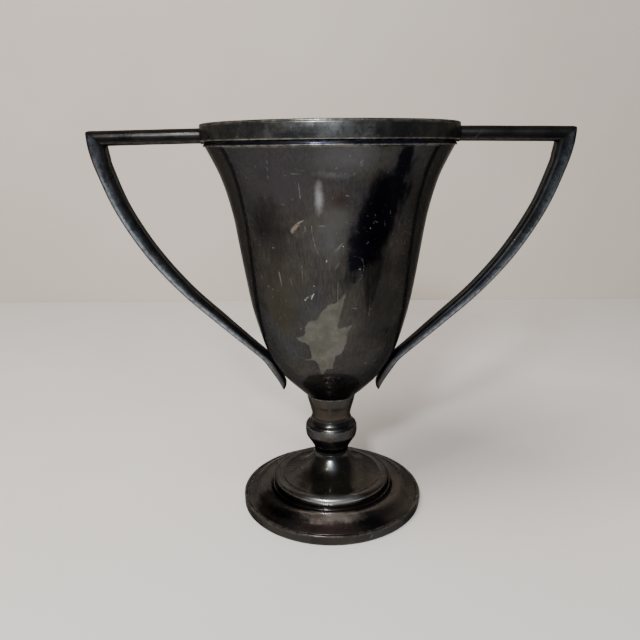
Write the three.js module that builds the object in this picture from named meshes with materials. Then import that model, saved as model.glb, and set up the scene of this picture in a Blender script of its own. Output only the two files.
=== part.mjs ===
// Two-handled presentation cup in silver-plated nickel silver, in millimetres, +Z up.
// The origin is on the table under the middle of the foot. The handles lie along X and the front faces -Y.
import * as THREE from "three";
import { ParametricGeometry } from "three/addons/geometries/ParametricGeometry.js";

// Overall sizes
const CUP_HEIGHT = 204;
const MOUTH_RADIUS = 63.5;
const HANDLE_REACH = 121.3;
const FOOT_RADIUS = 49.6;

// Clearances
const SOLDER_GAP = 0.1;
const BUTT_GAP = 0.3;
const THREAD_GAP = 0.15;

// Rim
const BAND_HEIGHT = 7.2;
const BAND_THICKNESS = 2.3;
const LIP_WIRE_HEIGHT = 0.8;
const LIP_WIRE_WIDTH = 3.2;
const UNDER_WIRE_HEIGHT = 2.4;
const UNDER_WIRE_THICKNESS = 0.5;
const UNDER_WIRE_BEAD = 0.4;

// Bowl
const BOWL_WALL = 1.2;
const HANDLE_FOOT_SHARE = 0.19;

// Foot and stem, from the table up
const FOOT_BAND_HEIGHT = 5.2;
const FOOT_BAND_THICKNESS = 1.5;
const FOOT_FLANGE_WIDTH = 4.6;
const FOOT_FLANGE_THICKNESS = 1.0;
const FOOT_WALL = 1.0;
const FOOT_HEIGHT = 28.5;
const FOOT_TOP_RADIUS = 9.5;
const BEAD_RADIUS = 32.2;
const BEAD_HEIGHT = 15.6;
const CREST_RADIUS = 38.5;
const CREST_HEIGHT = 10.3;
const NECK_HEIGHT = 4.4;
const NECK_RADIUS = 9.2;
const KNOP_LOWER_HEIGHT = 11.2;
const KNOP_UPPER_HEIGHT = 4.4;
const KNOP_RADIUS = 14.3;
const COLLAR_HEIGHT = 13.9;
const COLLAR_WAIST_RADIUS = 10.6;
const COLLAR_LIP_RADIUS = 13.4;
const STEM_WALL = 1.2;

// Handles
const BAR_DROP = 1.5;
const BAR_THICKNESS = 7.3;
const BAR_DEPTH = 9.4;
const BAR_FALL = 0.8;
const MITRE_RUN = 10;
const TONGUE_TIP_DEPTH = 3;

// Fixing inside the stem
const ROD_RADIUS = 3;
const ROD_TAIL = 1.6;
const BOSS_RADIUS = 6.6;
const BOSS_HEIGHT = 8;
const BOSS_HOLE_DEPTH = 6.5;
const PLATE_RADIUS = 18;
const PLATE_THICKNESS = 1.8;
const WASHER_RADIUS = 9;
const WASHER_THICKNESS = 1.2;
const SPRING_RADIUS = 5.4;
const SPRING_THICKNESS = 1.6;
const SPRING_SLIT = 1.2;
const NUT_ACROSS_FLATS = 10;
const NUT_HEIGHT = 5;

// Fineness of the faceted solids
const ROUND_STEPS = 48;
const STEM_STEPS = 32;
const SMALL_STEPS = 24;
const SECTION_STEPS = 16;
const SWEEP_STEPS = 24;

// Levels that follow from the sizes above
const NECK_BASE = FOOT_HEIGHT + SOLDER_GAP;
const KNOP_BASE = NECK_BASE + NECK_HEIGHT + SOLDER_GAP;
const KNOP_SEAM = KNOP_BASE + KNOP_LOWER_HEIGHT;
const KNOP_TOP = KNOP_SEAM + SOLDER_GAP + KNOP_UPPER_HEIGHT;
const COLLAR_BASE = KNOP_TOP + SOLDER_GAP;
const COLLAR_TOP = COLLAR_BASE + COLLAR_HEIGHT;
const BAND_TOP = CUP_HEIGHT - LIP_WIRE_HEIGHT - SOLDER_GAP;
const BAND_BASE = BAND_TOP - BAND_HEIGHT;
const UNDER_WIRE_BASE = BAND_BASE - SOLDER_GAP - UNDER_WIRE_HEIGHT;
const BOWL_SHOULDER = UNDER_WIRE_BASE - SOLDER_GAP;
const BOWL_MOUTH_RADIUS = MOUTH_RADIUS - BAND_THICKNESS - SOLDER_GAP;
const BAR_TOP = CUP_HEIGHT - BAR_DROP;
const BAR_BASE = BAR_TOP - BAR_THICKNESS;

const point = (x, y) => new THREE.Vector2(x, y);

// ---- Materials ----

function metal(color, roughness) {
  return new THREE.MeshStandardMaterial({ color, roughness, metalness: 0.9 });
}

const tarnishedPlate = metal(0x3a3835, 0.36);
const tarnishedFoot = metal(0x35322e, 0.34);
const handleMetal = metal(0x3d4043, 0.32);
const plainSteel = metal(0x77777a, 0.45);
const bareBrass = metal(0x9a8452, 0.42);

// ---- Helpers ----

// A solid of revolution about Z, from a closed profile that runs up on its outer side.
function turned(profile, steps) {
  const closed = [...profile, profile[0]];
  return new THREE.LatheGeometry(closed, steps).rotateX(Math.PI / 2);
}

// A solid of revolution whose profile starts and ends on the axis.
function turnedSolid(profile, steps) {
  return new THREE.LatheGeometry(profile, steps).rotateX(Math.PI / 2);
}

// A plain ring with a rectangular section.
function ring(inner, outer, base, top, steps) {
  return turned([point(inner, base), point(outer, base), point(outer, top), point(inner, top)], steps);
}

// A smooth curve through a few points, as evenly spaced points.
function smooth(points, count) {
  return new THREE.SplineCurve(points).getSpacedPoints(count);
}

// The same line moved sideways by a wall thickness, to the left of its direction of travel.
function offset(line, wall) {
  return line.map((here, i) => {
    const before = line[Math.max(i - 1, 0)];
    const after = line[Math.min(i + 1, line.length - 1)];
    const along = after.clone().sub(before).normalize();
    return point(Math.max(here.x - along.y * wall, 0), here.y + along.x * wall);
  });
}

// The height on a rising or falling line at a given radius.
function heightAt(line, radius) {
  for (let i = 1; i < line.length; i += 1) {
    const [a, b] = [line[i - 1], line[i]];
    if ((a.x - radius) * (b.x - radius) <= 0 && a.x !== b.x) {
      return a.y + ((b.y - a.y) * (radius - a.x)) / (b.x - a.x);
    }
  }
  return line[line.length - 1].y;
}

function named(name, geometry, material) {
  const mesh = new THREE.Mesh(geometry, material);
  mesh.name = name;
  return mesh;
}

// ---- Bowl ----

// Shares of the bowl's height and of its mouth radius: a round bottom, a slow taper and a flared lip.
const BOWL_OUTLINE = [
  [0, 0],
  [0.006, 0.105],
  [0.027, 0.205],
  [0.078, 0.329],
  [0.122, 0.42],
  [0.167, 0.488],
  [0.211, 0.543],
  [0.256, 0.583],
  [0.323, 0.627],
  [0.412, 0.677],
  [0.523, 0.721],
  [0.656, 0.767],
  [0.746, 0.799],
  [0.835, 0.846],
  [0.902, 0.895],
  [0.953, 0.947],
  [1, 1],
];
const BOWL_STEPS = 20;
const BOWL_INSIDE_STEPS = 13;

// The bowl's bottom hangs inside the collar, as low as lets its outside rest on the collar's lip.
const outlineShares = smooth(
  BOWL_OUTLINE.map(([up, out]) => point(out * BOWL_MOUTH_RADIUS, up)),
  BOWL_STEPS * 4,
);
const SEAT_SHARE = heightAt(outlineShares, COLLAR_LIP_RADIUS);
const BOWL_BASE = (COLLAR_TOP + BUTT_GAP - SEAT_SHARE * BOWL_SHOULDER) / (1 - SEAT_SHARE);

function bowlOutside(steps) {
  const height = BOWL_SHOULDER - BOWL_BASE;
  const corners = BOWL_OUTLINE.map(([up, out]) => point(out * BOWL_MOUTH_RADIUS, BOWL_BASE + up * height));
  return smooth(corners, steps);
}

const bowlLine = bowlOutside(BOWL_STEPS);

function bowlRadiusAt(z) {
  for (let i = 1; i < bowlLine.length; i += 1) {
    const [a, b] = [bowlLine[i - 1], bowlLine[i]];
    if (z <= b.y) {
      return a.x + ((b.x - a.x) * (z - a.y)) / (b.y - a.y);
    }
  }
  return BOWL_MOUTH_RADIUS;
}

function bowl() {
  const inside = offset(bowlOutside(BOWL_INSIDE_STEPS), BOWL_WALL);
  inside[0] = point(0, BOWL_BASE + BOWL_WALL);
  inside[inside.length - 1] = point(BOWL_MOUTH_RADIUS - BOWL_WALL, BOWL_SHOULDER);
  const edge = [point(BOWL_MOUTH_RADIUS, BAND_TOP), point(BOWL_MOUTH_RADIUS - BOWL_WALL, BAND_TOP)];
  return named("bowl", turnedSolid([...bowlLine, ...edge, ...inside.reverse()], ROUND_STEPS), tarnishedPlate);
}

// ---- Rim ----

function rimBand() {
  const inner = BOWL_MOUTH_RADIUS + SOLDER_GAP;
  const bevel = 0.4;
  const profile = [
    point(inner, BAND_BASE),
    point(MOUTH_RADIUS - bevel, BAND_BASE),
    point(MOUTH_RADIUS, BAND_BASE + bevel),
    point(MOUTH_RADIUS, BAND_TOP - bevel),
    point(MOUTH_RADIUS - bevel, BAND_TOP),
    point(inner, BAND_TOP),
  ];
  return named("rim_band", turned(profile, ROUND_STEPS), tarnishedPlate);
}

function rimLipWire() {
  const base = BAND_TOP + SOLDER_GAP;
  const outer = MOUTH_RADIUS - 0.2;
  const inner = outer - LIP_WIRE_WIDTH;
  const round = 0.4;
  const profile = [
    point(inner, base),
    point(outer, base),
    point(outer, CUP_HEIGHT - round),
    point(outer - round, CUP_HEIGHT),
    point(inner + round, CUP_HEIGHT),
    point(inner, CUP_HEIGHT - round),
  ];
  return named("rim_lip_wire", turned(profile, ROUND_STEPS), tarnishedPlate);
}

function underBandWire() {
  const inner = BOWL_MOUTH_RADIUS + SOLDER_GAP;
  const outer = inner + UNDER_WIRE_THICKNESS;
  const top = UNDER_WIRE_BASE + UNDER_WIRE_HEIGHT;
  const profile = [
    point(inner, UNDER_WIRE_BASE),
    point(outer + UNDER_WIRE_BEAD, UNDER_WIRE_BASE),
    point(outer + UNDER_WIRE_BEAD, UNDER_WIRE_BASE + UNDER_WIRE_HEIGHT / 3),
    point(outer, UNDER_WIRE_BASE + UNDER_WIRE_HEIGHT / 2),
    point(outer, top),
    point(inner, top),
  ];
  return named("under_band_wire", turned(profile, ROUND_STEPS), tarnishedPlate);
}

// ---- Handles ----

const CONTACT_Z = BOWL_BASE + HANDLE_FOOT_SHARE * (BOWL_SHOULDER - BOWL_BASE);
const CONTACT_RADIUS = bowlRadiusAt(CONTACT_Z) + BUTT_GAP;
const BUTT_RADIUS = MOUTH_RADIUS + BUTT_GAP;
const OUTER_CORNER = point(HANDLE_REACH, BAR_TOP - BAR_FALL);
const INNER_CORNER = point(HANDLE_REACH - MITRE_RUN, BAR_BASE - BAR_FALL * (1 - MITRE_RUN / HANDLE_REACH));

// Outer and inner edge of the sweep below the mitre, as shares of the way from the bowl to the corner.
const SWEEP_EDGES = [
  [0.99, 0.922, 0.878, 0.895],
  [0.955, 0.825, 0.863, 0.844],
  [0.864, 0.652, 0.783, 0.681],
  [0.709, 0.46, 0.642, 0.499],
  [0.519, 0.293, 0.465, 0.333],
  [0.315, 0.152, 0.271, 0.191],
  [0.154, 0.046, 0.11, 0.076],
  [0.085, 0, 0.04, 0.028],
];

// The tongue below, tangent to the bowl: each station's drop in height, thickness and depth.
const TONGUE_STATIONS = [
  { drop: 3.2, thickness: 5.4, depth: 9.2 },
  { drop: 8.4, thickness: 5.2, depth: 8.4 },
];
// Its free end: drop in height, and how far each edge is in from the first touch with the bowl.
const TONGUE_END = [
  { drop: 13.6, outer: -2.9, inner: -7.2, depth: 6.8 },
  { drop: 16.8, outer: -4.6, inner: -7.6, depth: 5.2 },
  { drop: 19.2, outer: -5.7, inner: -6.7, depth: TONGUE_TIP_DEPTH },
];

// Pairs of points, one on each edge, from the mitred corner down to the tip of the tongue.
function sweepStations() {
  const from = point(CONTACT_RADIUS, CONTACT_Z);
  const run = OUTER_CORNER.clone().sub(from);
  const at = (a, b) => point(from.x + a * run.x, from.y + b * run.y);
  const stations = [{ outer: OUTER_CORNER, inner: INNER_CORNER, depth: BAR_DEPTH }];
  for (const [a, b, c, d] of SWEEP_EDGES) {
    stations.push({ outer: at(a, b), inner: at(c, d), depth: BAR_DEPTH });
  }
  for (const { drop, thickness, depth } of TONGUE_STATIONS) {
    const z = CONTACT_Z - drop + thickness / 2;
    const wall = point(bowlRadiusAt(z) + BUTT_GAP, z);
    const outer = point(wall.x + thickness * 0.84, z - thickness * 0.54);
    stations.push({ outer, inner: wall, depth });
  }
  for (const { drop, outer, inner, depth } of TONGUE_END) {
    const z = CONTACT_Z - drop;
    stations.push({ outer: point(from.x + outer, z - 0.6), inner: point(from.x + inner, z), depth });
  }
  return stations;
}

// A body lofted through stations that each span an inner and an outer edge, rounder on the outer side.
function lofted(stations, steps) {
  const outerLine = new THREE.SplineCurve(stations.map((s) => s.outer));
  const innerLine = new THREE.SplineCurve(stations.map((s) => s.inner));
  const depthLine = new THREE.SplineCurve(stations.map((s, i) => point(i, s.depth)));
  const surface = (u, v, target) => {
    const t = THREE.MathUtils.clamp((u * (steps + 2) - 1) / steps, 0, 1);
    const capped = u === 0 || u === 1 ? 0 : 1;
    const angle = v * 2 * Math.PI;
    const [c, s] = [Math.cos(angle), Math.sin(angle)];
    const power = c > 0 ? 0.85 : 0.55;
    const across = Math.sign(c) * Math.abs(c) ** power * capped;
    const deep = Math.sign(s) * Math.abs(s) ** power * capped;
    const outer = outerLine.getPoint(t);
    const inner = innerLine.getPoint(t);
    const middle = outer.clone().add(inner).multiplyScalar(0.5);
    const half = outer.clone().sub(inner).multiplyScalar(0.5);
    const y = (depthLine.getPoint(t).y / 2) * deep;
    target.set(middle.x + half.x * across, y, middle.y + half.y * across);
  };
  return new ParametricGeometry(surface, steps + 2, SECTION_STEPS);
}

function handleSweep(name) {
  return named(name, lofted(sweepStations(), SWEEP_STEPS), handleMetal);
}

function handleBar(name) {
  const stations = [
    { outer: point(BUTT_RADIUS, BAR_TOP), inner: point(BUTT_RADIUS, BAR_BASE), depth: BAR_DEPTH },
    {
      outer: point(OUTER_CORNER.x - SOLDER_GAP, OUTER_CORNER.y),
      inner: point(INNER_CORNER.x - SOLDER_GAP, INNER_CORNER.y),
      depth: BAR_DEPTH,
    },
  ];
  return named(name, lofted(stations, 2), handleMetal);
}

function handle(side, turn) {
  const group = new THREE.Group();
  group.add(handleBar(`${side}_handle_bar`), handleSweep(`${side}_handle_sweep`));
  group.rotation.z = turn;
  return group;
}

// ---- Stem ----

function stemCollar() {
  const outside = smooth(
    [
      point(COLLAR_WAIST_RADIUS + 0.35, COLLAR_BASE),
      point(COLLAR_WAIST_RADIUS, COLLAR_BASE + COLLAR_HEIGHT * 0.16),
      point(COLLAR_WAIST_RADIUS + 0.95, COLLAR_BASE + COLLAR_HEIGHT * 0.47),
      point(COLLAR_WAIST_RADIUS + 1.75, COLLAR_BASE + COLLAR_HEIGHT * 0.66),
      point(COLLAR_LIP_RADIUS, COLLAR_TOP),
    ],
    5,
  );
  const inside = outside.map((p) => point(p.x - STEM_WALL, p.y)).reverse();
  inside[0].y = Math.min(COLLAR_TOP, heightAt(bowlLine, inside[0].x) - BUTT_GAP);
  outside[outside.length - 1].y = heightAt(bowlLine, COLLAR_LIP_RADIUS) - BUTT_GAP;
  return named("stem_collar", turned([...outside, ...inside], STEM_STEPS), tarnishedFoot);
}

function knopUpperHalf() {
  const base = KNOP_SEAM + SOLDER_GAP;
  const outside = smooth(
    [
      point(KNOP_RADIUS - 0.25, base),
      point(KNOP_RADIUS * 0.94, base + KNOP_UPPER_HEIGHT * 0.25),
      point(KNOP_RADIUS * 0.84, base + KNOP_UPPER_HEIGHT * 0.5),
      point(COLLAR_WAIST_RADIUS + 0.75, base + KNOP_UPPER_HEIGHT * 0.75),
      point(COLLAR_WAIST_RADIUS + 0.35, KNOP_TOP),
    ],
    6,
  );
  const inside = outside.map((p) => point(p.x - STEM_WALL, p.y)).reverse();
  return named("knop_upper_half", turned([...outside, ...inside], STEM_STEPS), tarnishedFoot);
}

function knopLowerHalf() {
  const outside = smooth(
    [
      point(NECK_RADIUS + 1.2, KNOP_BASE),
      point(KNOP_RADIUS * 0.81, KNOP_BASE + KNOP_LOWER_HEIGHT * 0.17),
      point(KNOP_RADIUS * 0.9, KNOP_BASE + KNOP_LOWER_HEIGHT * 0.33),
      point(KNOP_RADIUS * 0.975, KNOP_BASE + KNOP_LOWER_HEIGHT * 0.5),
      point(KNOP_RADIUS, KNOP_BASE + KNOP_LOWER_HEIGHT * 0.72),
      point(KNOP_RADIUS - 0.1, KNOP_SEAM),
    ],
    7,
  );
  const inside = outside.map((p) => point(p.x - STEM_WALL, p.y)).reverse();
  return named("knop_lower_half", turned([...outside, ...inside], STEM_STEPS), tarnishedFoot);
}

function stemNeck() {
  const top = NECK_BASE + NECK_HEIGHT;
  const outside = [
    point(NECK_RADIUS + 0.1, NECK_BASE),
    point(NECK_RADIUS + 0.1, NECK_BASE + NECK_HEIGHT * 0.3),
    point(NECK_RADIUS + 0.5, NECK_BASE + NECK_HEIGHT * 0.7),
    point(NECK_RADIUS + 1.1, top),
  ];
  const inside = outside.map((p) => point(p.x - STEM_WALL, p.y)).reverse();
  return named("stem_neck", turned([...outside, ...inside], STEM_STEPS), tarnishedFoot);
}

// ---- Foot ----

const FOOT_SHELL_RADIUS = FOOT_RADIUS - FOOT_BAND_THICKNESS - SOLDER_GAP;
const FOOT_SHELL_EDGE = FOOT_FLANGE_THICKNESS + SOLDER_GAP;

// The cone's outside, from the stem down to the flat before the bead.
function coneLine() {
  const rise = FOOT_HEIGHT - BEAD_HEIGHT;
  const reach = BEAD_RADIUS - FOOT_TOP_RADIUS;
  return smooth(
    [
      point(BEAD_RADIUS - 5.4, BEAD_HEIGHT - 0.5),
      point(FOOT_TOP_RADIUS + reach * 0.46, BEAD_HEIGHT + rise * 0.18),
      point(FOOT_TOP_RADIUS + reach * 0.2, BEAD_HEIGHT + rise * 0.46),
      point(FOOT_TOP_RADIUS + reach * 0.05, BEAD_HEIGHT + rise * 0.78),
      point(FOOT_TOP_RADIUS, FOOT_HEIGHT),
    ],
    7,
  );
}

function footShell() {
  const outside = [
    point(FOOT_SHELL_RADIUS, FOOT_SHELL_EDGE),
    point(FOOT_SHELL_RADIUS, FOOT_BAND_HEIGHT - 0.4),
    point(CREST_RADIUS + 5.6, CREST_HEIGHT - 3.1),
    point(CREST_RADIUS + 2.4, CREST_HEIGHT - 0.8),
    point(CREST_RADIUS, CREST_HEIGHT),
    point(CREST_RADIUS - 3, CREST_HEIGHT - 0.2),
    point(BEAD_RADIUS + 0.9, CREST_HEIGHT - 0.9),
    point(BEAD_RADIUS - 0.2, CREST_HEIGHT + 0.6),
    point(BEAD_RADIUS, BEAD_HEIGHT - 2.4),
    point(BEAD_RADIUS - 0.8, BEAD_HEIGHT - 0.8),
    point(BEAD_RADIUS - 2.4, BEAD_HEIGHT),
    point(BEAD_RADIUS - 4, BEAD_HEIGHT - 0.2),
    ...coneLine(),
  ];
  const inside = [
    ...footInside().reverse(),
    point(BEAD_RADIUS - 2, BEAD_HEIGHT - FOOT_WALL - 0.6),
    point(BEAD_RADIUS - 1.6, CREST_HEIGHT - FOOT_WALL - 0.9),
    point(CREST_RADIUS, CREST_HEIGHT - FOOT_WALL - 0.2),
    point(CREST_RADIUS + 5.2, CREST_HEIGHT - FOOT_WALL - 3.2),
    point(FOOT_SHELL_RADIUS - FOOT_WALL, FOOT_BAND_HEIGHT - FOOT_WALL - 0.7),
    point(FOOT_SHELL_RADIUS - FOOT_WALL, FOOT_SHELL_EDGE),
  ];
  return named("foot_shell", turned([...outside, ...inside], ROUND_STEPS), tarnishedFoot);
}

// The inside of the cone, one wall in from its outside.
function footInside() {
  const inside = offset(coneLine(), FOOT_WALL);
  inside[inside.length - 1] = point(FOOT_TOP_RADIUS - FOOT_WALL, FOOT_HEIGHT);
  return inside;
}

function footRimBand() {
  const inner = FOOT_RADIUS - FOOT_BAND_THICKNESS;
  const bevel = 0.3;
  const profile = [
    point(FOOT_RADIUS - FOOT_FLANGE_WIDTH, 0),
    point(FOOT_RADIUS - bevel, 0),
    point(FOOT_RADIUS, bevel),
    point(FOOT_RADIUS, FOOT_BAND_HEIGHT - 0.8),
    point(FOOT_RADIUS - 0.5, FOOT_BAND_HEIGHT),
    point(inner, FOOT_BAND_HEIGHT),
    point(inner, FOOT_FLANGE_THICKNESS),
    point(FOOT_RADIUS - FOOT_FLANGE_WIDTH, FOOT_FLANGE_THICKNESS),
  ];
  return named("foot_rim_band", turned(profile, ROUND_STEPS), tarnishedFoot);
}

// ---- Fixing inside the stem ----

const BOSS_TOP = BOWL_BASE - BUTT_GAP;
const ROD_TOP = BOSS_TOP - BOSS_HEIGHT + BOSS_HOLE_DEPTH - SOLDER_GAP;
const PLATE_TOP = heightAt(footInside(), PLATE_RADIUS) - BUTT_GAP;
const WASHER_TOP = PLATE_TOP - PLATE_THICKNESS - SOLDER_GAP;
const SPRING_TOP = WASHER_TOP - WASHER_THICKNESS - SOLDER_GAP;
const NUT_TOP = SPRING_TOP - SPRING_THICKNESS - SOLDER_GAP;
const ROD_BASE = NUT_TOP - NUT_HEIGHT - ROD_TAIL;
const ROD_HOLE = ROD_RADIUS + THREAD_GAP;

function bowlBoss() {
  const base = BOSS_TOP - BOSS_HEIGHT;
  const profile = [
    point(0, base + BOSS_HOLE_DEPTH),
    point(ROD_HOLE, base + BOSS_HOLE_DEPTH),
    point(ROD_HOLE, base),
    point(BOSS_RADIUS, base),
    point(BOSS_RADIUS, BOSS_TOP),
    point(0, BOSS_TOP),
  ];
  return named("bowl_boss", turnedSolid(profile, SMALL_STEPS), bareBrass);
}

function tieRod() {
  const profile = [
    point(0, ROD_BASE),
    point(ROD_RADIUS, ROD_BASE),
    point(ROD_RADIUS, ROD_TOP),
    point(0, ROD_TOP),
  ];
  return named("tie_rod", turnedSolid(profile, SMALL_STEPS), plainSteel);
}

function bridgePlate() {
  const base = PLATE_TOP - PLATE_THICKNESS;
  return named("foot_bridge_plate", ring(ROD_HOLE, PLATE_RADIUS, base, PLATE_TOP, STEM_STEPS), plainSteel);
}

function flatWasher() {
  const base = WASHER_TOP - WASHER_THICKNESS;
  return named("flat_washer", ring(ROD_HOLE, WASHER_RADIUS, base, WASHER_TOP, SMALL_STEPS), plainSteel);
}

// A spring washer: an open ring with a slit.
function springWasher() {
  const outerSlit = SPRING_SLIT / SPRING_RADIUS / 2;
  const innerSlit = SPRING_SLIT / ROD_HOLE / 2;
  const shape = new THREE.Shape();
  shape.absarc(0, 0, SPRING_RADIUS, outerSlit, 2 * Math.PI - outerSlit, false);
  shape.absarc(0, 0, ROD_HOLE, 2 * Math.PI - innerSlit, innerSlit, true);
  shape.closePath();
  const settings = { depth: SPRING_THICKNESS, bevelEnabled: false, curveSegments: SMALL_STEPS };
  const mesh = named("spring_washer", new THREE.ExtrudeGeometry(shape, settings), plainSteel);
  mesh.position.z = SPRING_TOP - SPRING_THICKNESS;
  return mesh;
}

function hexNut() {
  const corner = NUT_ACROSS_FLATS / Math.sqrt(3);
  const shape = new THREE.Shape();
  for (let i = 0; i < 6; i += 1) {
    const angle = (i * Math.PI) / 3;
    const to = point(corner * Math.cos(angle), corner * Math.sin(angle));
    if (i === 0) {
      shape.moveTo(to.x, to.y);
    } else {
      shape.lineTo(to.x, to.y);
    }
  }
  shape.closePath();
  const hole = new THREE.Path();
  hole.absarc(0, 0, ROD_HOLE, 0, 2 * Math.PI, true);
  shape.holes.push(hole);
  const settings = { depth: NUT_HEIGHT, bevelEnabled: false, curveSegments: SMALL_STEPS / 2 };
  const mesh = named("hex_nut", new THREE.ExtrudeGeometry(shape, settings), plainSteel);
  mesh.position.z = NUT_TOP - NUT_HEIGHT;
  return mesh;
}

// ---- Assembly ----

function assembly() {
  const cup = new THREE.Group();
  cup.name = "cup_trophy";
  const bowlGroup = new THREE.Group();
  bowlGroup.add(bowl(), rimBand(), rimLipWire(), underBandWire());
  const stemGroup = new THREE.Group();
  stemGroup.add(stemCollar(), knopUpperHalf(), knopLowerHalf(), stemNeck());
  const footGroup = new THREE.Group();
  footGroup.add(footShell(), footRimBand());
  const fixing = new THREE.Group();
  fixing.add(bowlBoss(), tieRod(), bridgePlate(), flatWasher(), springWasher(), hexNut());
  cup.add(bowlGroup, handle("right", 0), handle("left", Math.PI), stemGroup, footGroup, fixing);
  return cup;
}

const group = assembly();

export default group;
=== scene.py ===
"""A two-handled, silver-plated presentation cup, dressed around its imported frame.

Every length is in metres in the frame's own axes: +Z up, the handles along X, the front towards -Y.
"""

from __future__ import annotations

import logging
import math
from dataclasses import dataclass, field
from enum import Enum
from typing import Iterable, Sequence

import bmesh
import bpy
import numpy as np
from mathutils import Matrix, Vector, noise


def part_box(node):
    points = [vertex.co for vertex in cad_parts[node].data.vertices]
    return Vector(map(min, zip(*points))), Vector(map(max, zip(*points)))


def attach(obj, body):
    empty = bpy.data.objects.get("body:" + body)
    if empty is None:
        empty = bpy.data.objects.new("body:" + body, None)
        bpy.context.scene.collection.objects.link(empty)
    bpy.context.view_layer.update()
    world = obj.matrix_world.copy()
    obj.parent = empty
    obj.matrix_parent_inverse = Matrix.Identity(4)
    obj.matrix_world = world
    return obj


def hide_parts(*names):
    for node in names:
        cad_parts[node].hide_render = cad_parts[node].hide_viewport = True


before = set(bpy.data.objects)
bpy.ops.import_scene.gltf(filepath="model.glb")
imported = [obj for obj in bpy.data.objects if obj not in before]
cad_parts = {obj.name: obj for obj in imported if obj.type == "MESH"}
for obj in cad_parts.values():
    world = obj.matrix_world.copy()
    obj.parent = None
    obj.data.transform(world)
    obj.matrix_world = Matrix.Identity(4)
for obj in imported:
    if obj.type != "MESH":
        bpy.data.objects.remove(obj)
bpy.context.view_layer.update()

MM = 0.001
ROOT = "root"
LOG = logging.getLogger("cup")

Rgb = tuple[float, float, float]
Line = np.ndarray
Socket = bpy.types.NodeSocket
Inputs = dict[str | int, object]


# ---------------------------------------------------------------- profiles and curves


def smooth(points: Sequence[Sequence[float]], steps: int) -> Line:
    """Runs a Catmull-Rom curve through the points.

    Args:
        points: The points that the curve passes through, in two or more dimensions.
        steps: The number of pieces between two neighbouring points.

    Returns:
        The curve's points, one row each.
    """
    corners = np.asarray(points, float)
    padded = np.vstack([2 * corners[0] - corners[1], corners, 2 * corners[-1] - corners[-2]])
    rows: list[np.ndarray] = []
    for i in range(1, len(padded) - 2):
        a, b, c, d = padded[i - 1 : i + 3]
        for k in range(steps):
            t = k / steps
            rows.append(
                0.5
                * (2 * b + (c - a) * t + (2 * a - 5 * b + 4 * c - d) * t**2 + (3 * b - a - 3 * c + d) * t**3)
            )
    rows.append(corners[-1])
    return np.array(rows)


def even(line: Line, count: int) -> Line:
    """Spaces a line's points evenly along its length.

    Args:
        line: The line's points, one row each.
        count: The number of points that the new line has.

    Returns:
        The new line.
    """
    lengths = np.linalg.norm(np.diff(line, axis=0), axis=1)
    along = np.concatenate([[0], np.cumsum(lengths)])
    wanted = np.linspace(0, along[-1], count)
    return np.stack([np.interp(wanted, along, line[:, k]) for k in range(line.shape[1])], axis=1)


def arc(centre: Sequence[float], radius: float, start: float, end: float, steps: int = 6) -> Line:
    """Gives the points of an arc in a profile's plane.

    Args:
        centre: The arc's centre.
        radius: The arc's radius.
        start: The angle of the first point, in degrees.
        end: The angle of the last point, in degrees.
        steps: The number of pieces.

    Returns:
        The arc's points.
    """
    angles = np.radians(np.linspace(start, end, steps + 1))
    return np.stack([centre[0] + radius * np.cos(angles), centre[1] + radius * np.sin(angles)], axis=1)


def sideways(line: Line, distance: float) -> Line:
    """Moves a line to the left of its direction of travel by a distance.

    Args:
        line: The line's points.
        distance: How far it moves.

    Returns:
        The moved line.
    """
    along = np.gradient(line, axis=0)
    along /= np.maximum(np.linalg.norm(along, axis=1, keepdims=True), 1e-12)
    return line + distance * np.stack([-along[:, 1], along[:, 0]], axis=1)


def level_ring(radius: float, height: float, count: int = 120) -> np.ndarray:
    """Gives the points of a level circle about Z.

    Args:
        radius: The circle's radius.
        height: Its height.
        count: The number of points.

    Returns:
        The points, one row each.
    """
    angle = np.linspace(0, 2 * np.pi, count, endpoint=False)
    return np.stack([radius * np.cos(angle), radius * np.sin(angle), np.full(count, height)], axis=1)


def in_mm(*pairs: tuple[float, float]) -> Line:
    """Gives profile corners that are written in millimetres."""
    return np.array(pairs) * MM


def joined(*lines: Line) -> Line:
    """Joins lines end to end, leaving out points that repeat.

    Args:
        lines: The lines, in order.

    Returns:
        The whole line.
    """
    whole = np.vstack(lines)
    gaps = np.linalg.norm(np.diff(whole, axis=0), axis=1)
    return whole[np.concatenate([[True], gaps > 0.004 * MM])]


def place_along(line: Line, along: np.ndarray, wanted: np.ndarray) -> Line:
    """Gives a plane line's points at the wanted lengths along it."""
    return np.stack([np.interp(wanted, along, line[:, k]) for k in (0, 1)], axis=1)


def bend_wear(profile: Line, reach: float) -> np.ndarray:
    """Finds how far each profile point stands on an outward corner.

    Args:
        profile: The closed or open profile, running up on its outer side.
        reach: The length on each side of a point over which the turn is measured.

    Returns:
        A value from 0, flat or hollow, to 1, a crisp outward edge, for each point.
    """
    lengths = np.linalg.norm(np.diff(profile, axis=0), axis=1)
    along = np.concatenate([[0], np.cumsum(lengths)])
    before = profile - place_along(profile, along, along - reach)
    after = place_along(profile, along, along + reach) - profile
    cross = before[:, 0] * after[:, 1] - before[:, 1] * after[:, 0]
    size = np.linalg.norm(before, axis=1) * np.linalg.norm(after, axis=1)
    turn = np.arcsin(np.clip(cross / np.maximum(size, 1e-15), -1, 1))
    return np.clip(turn / math.radians(60), 0, 1)


# ---------------------------------------------------------------- meshes


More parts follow.
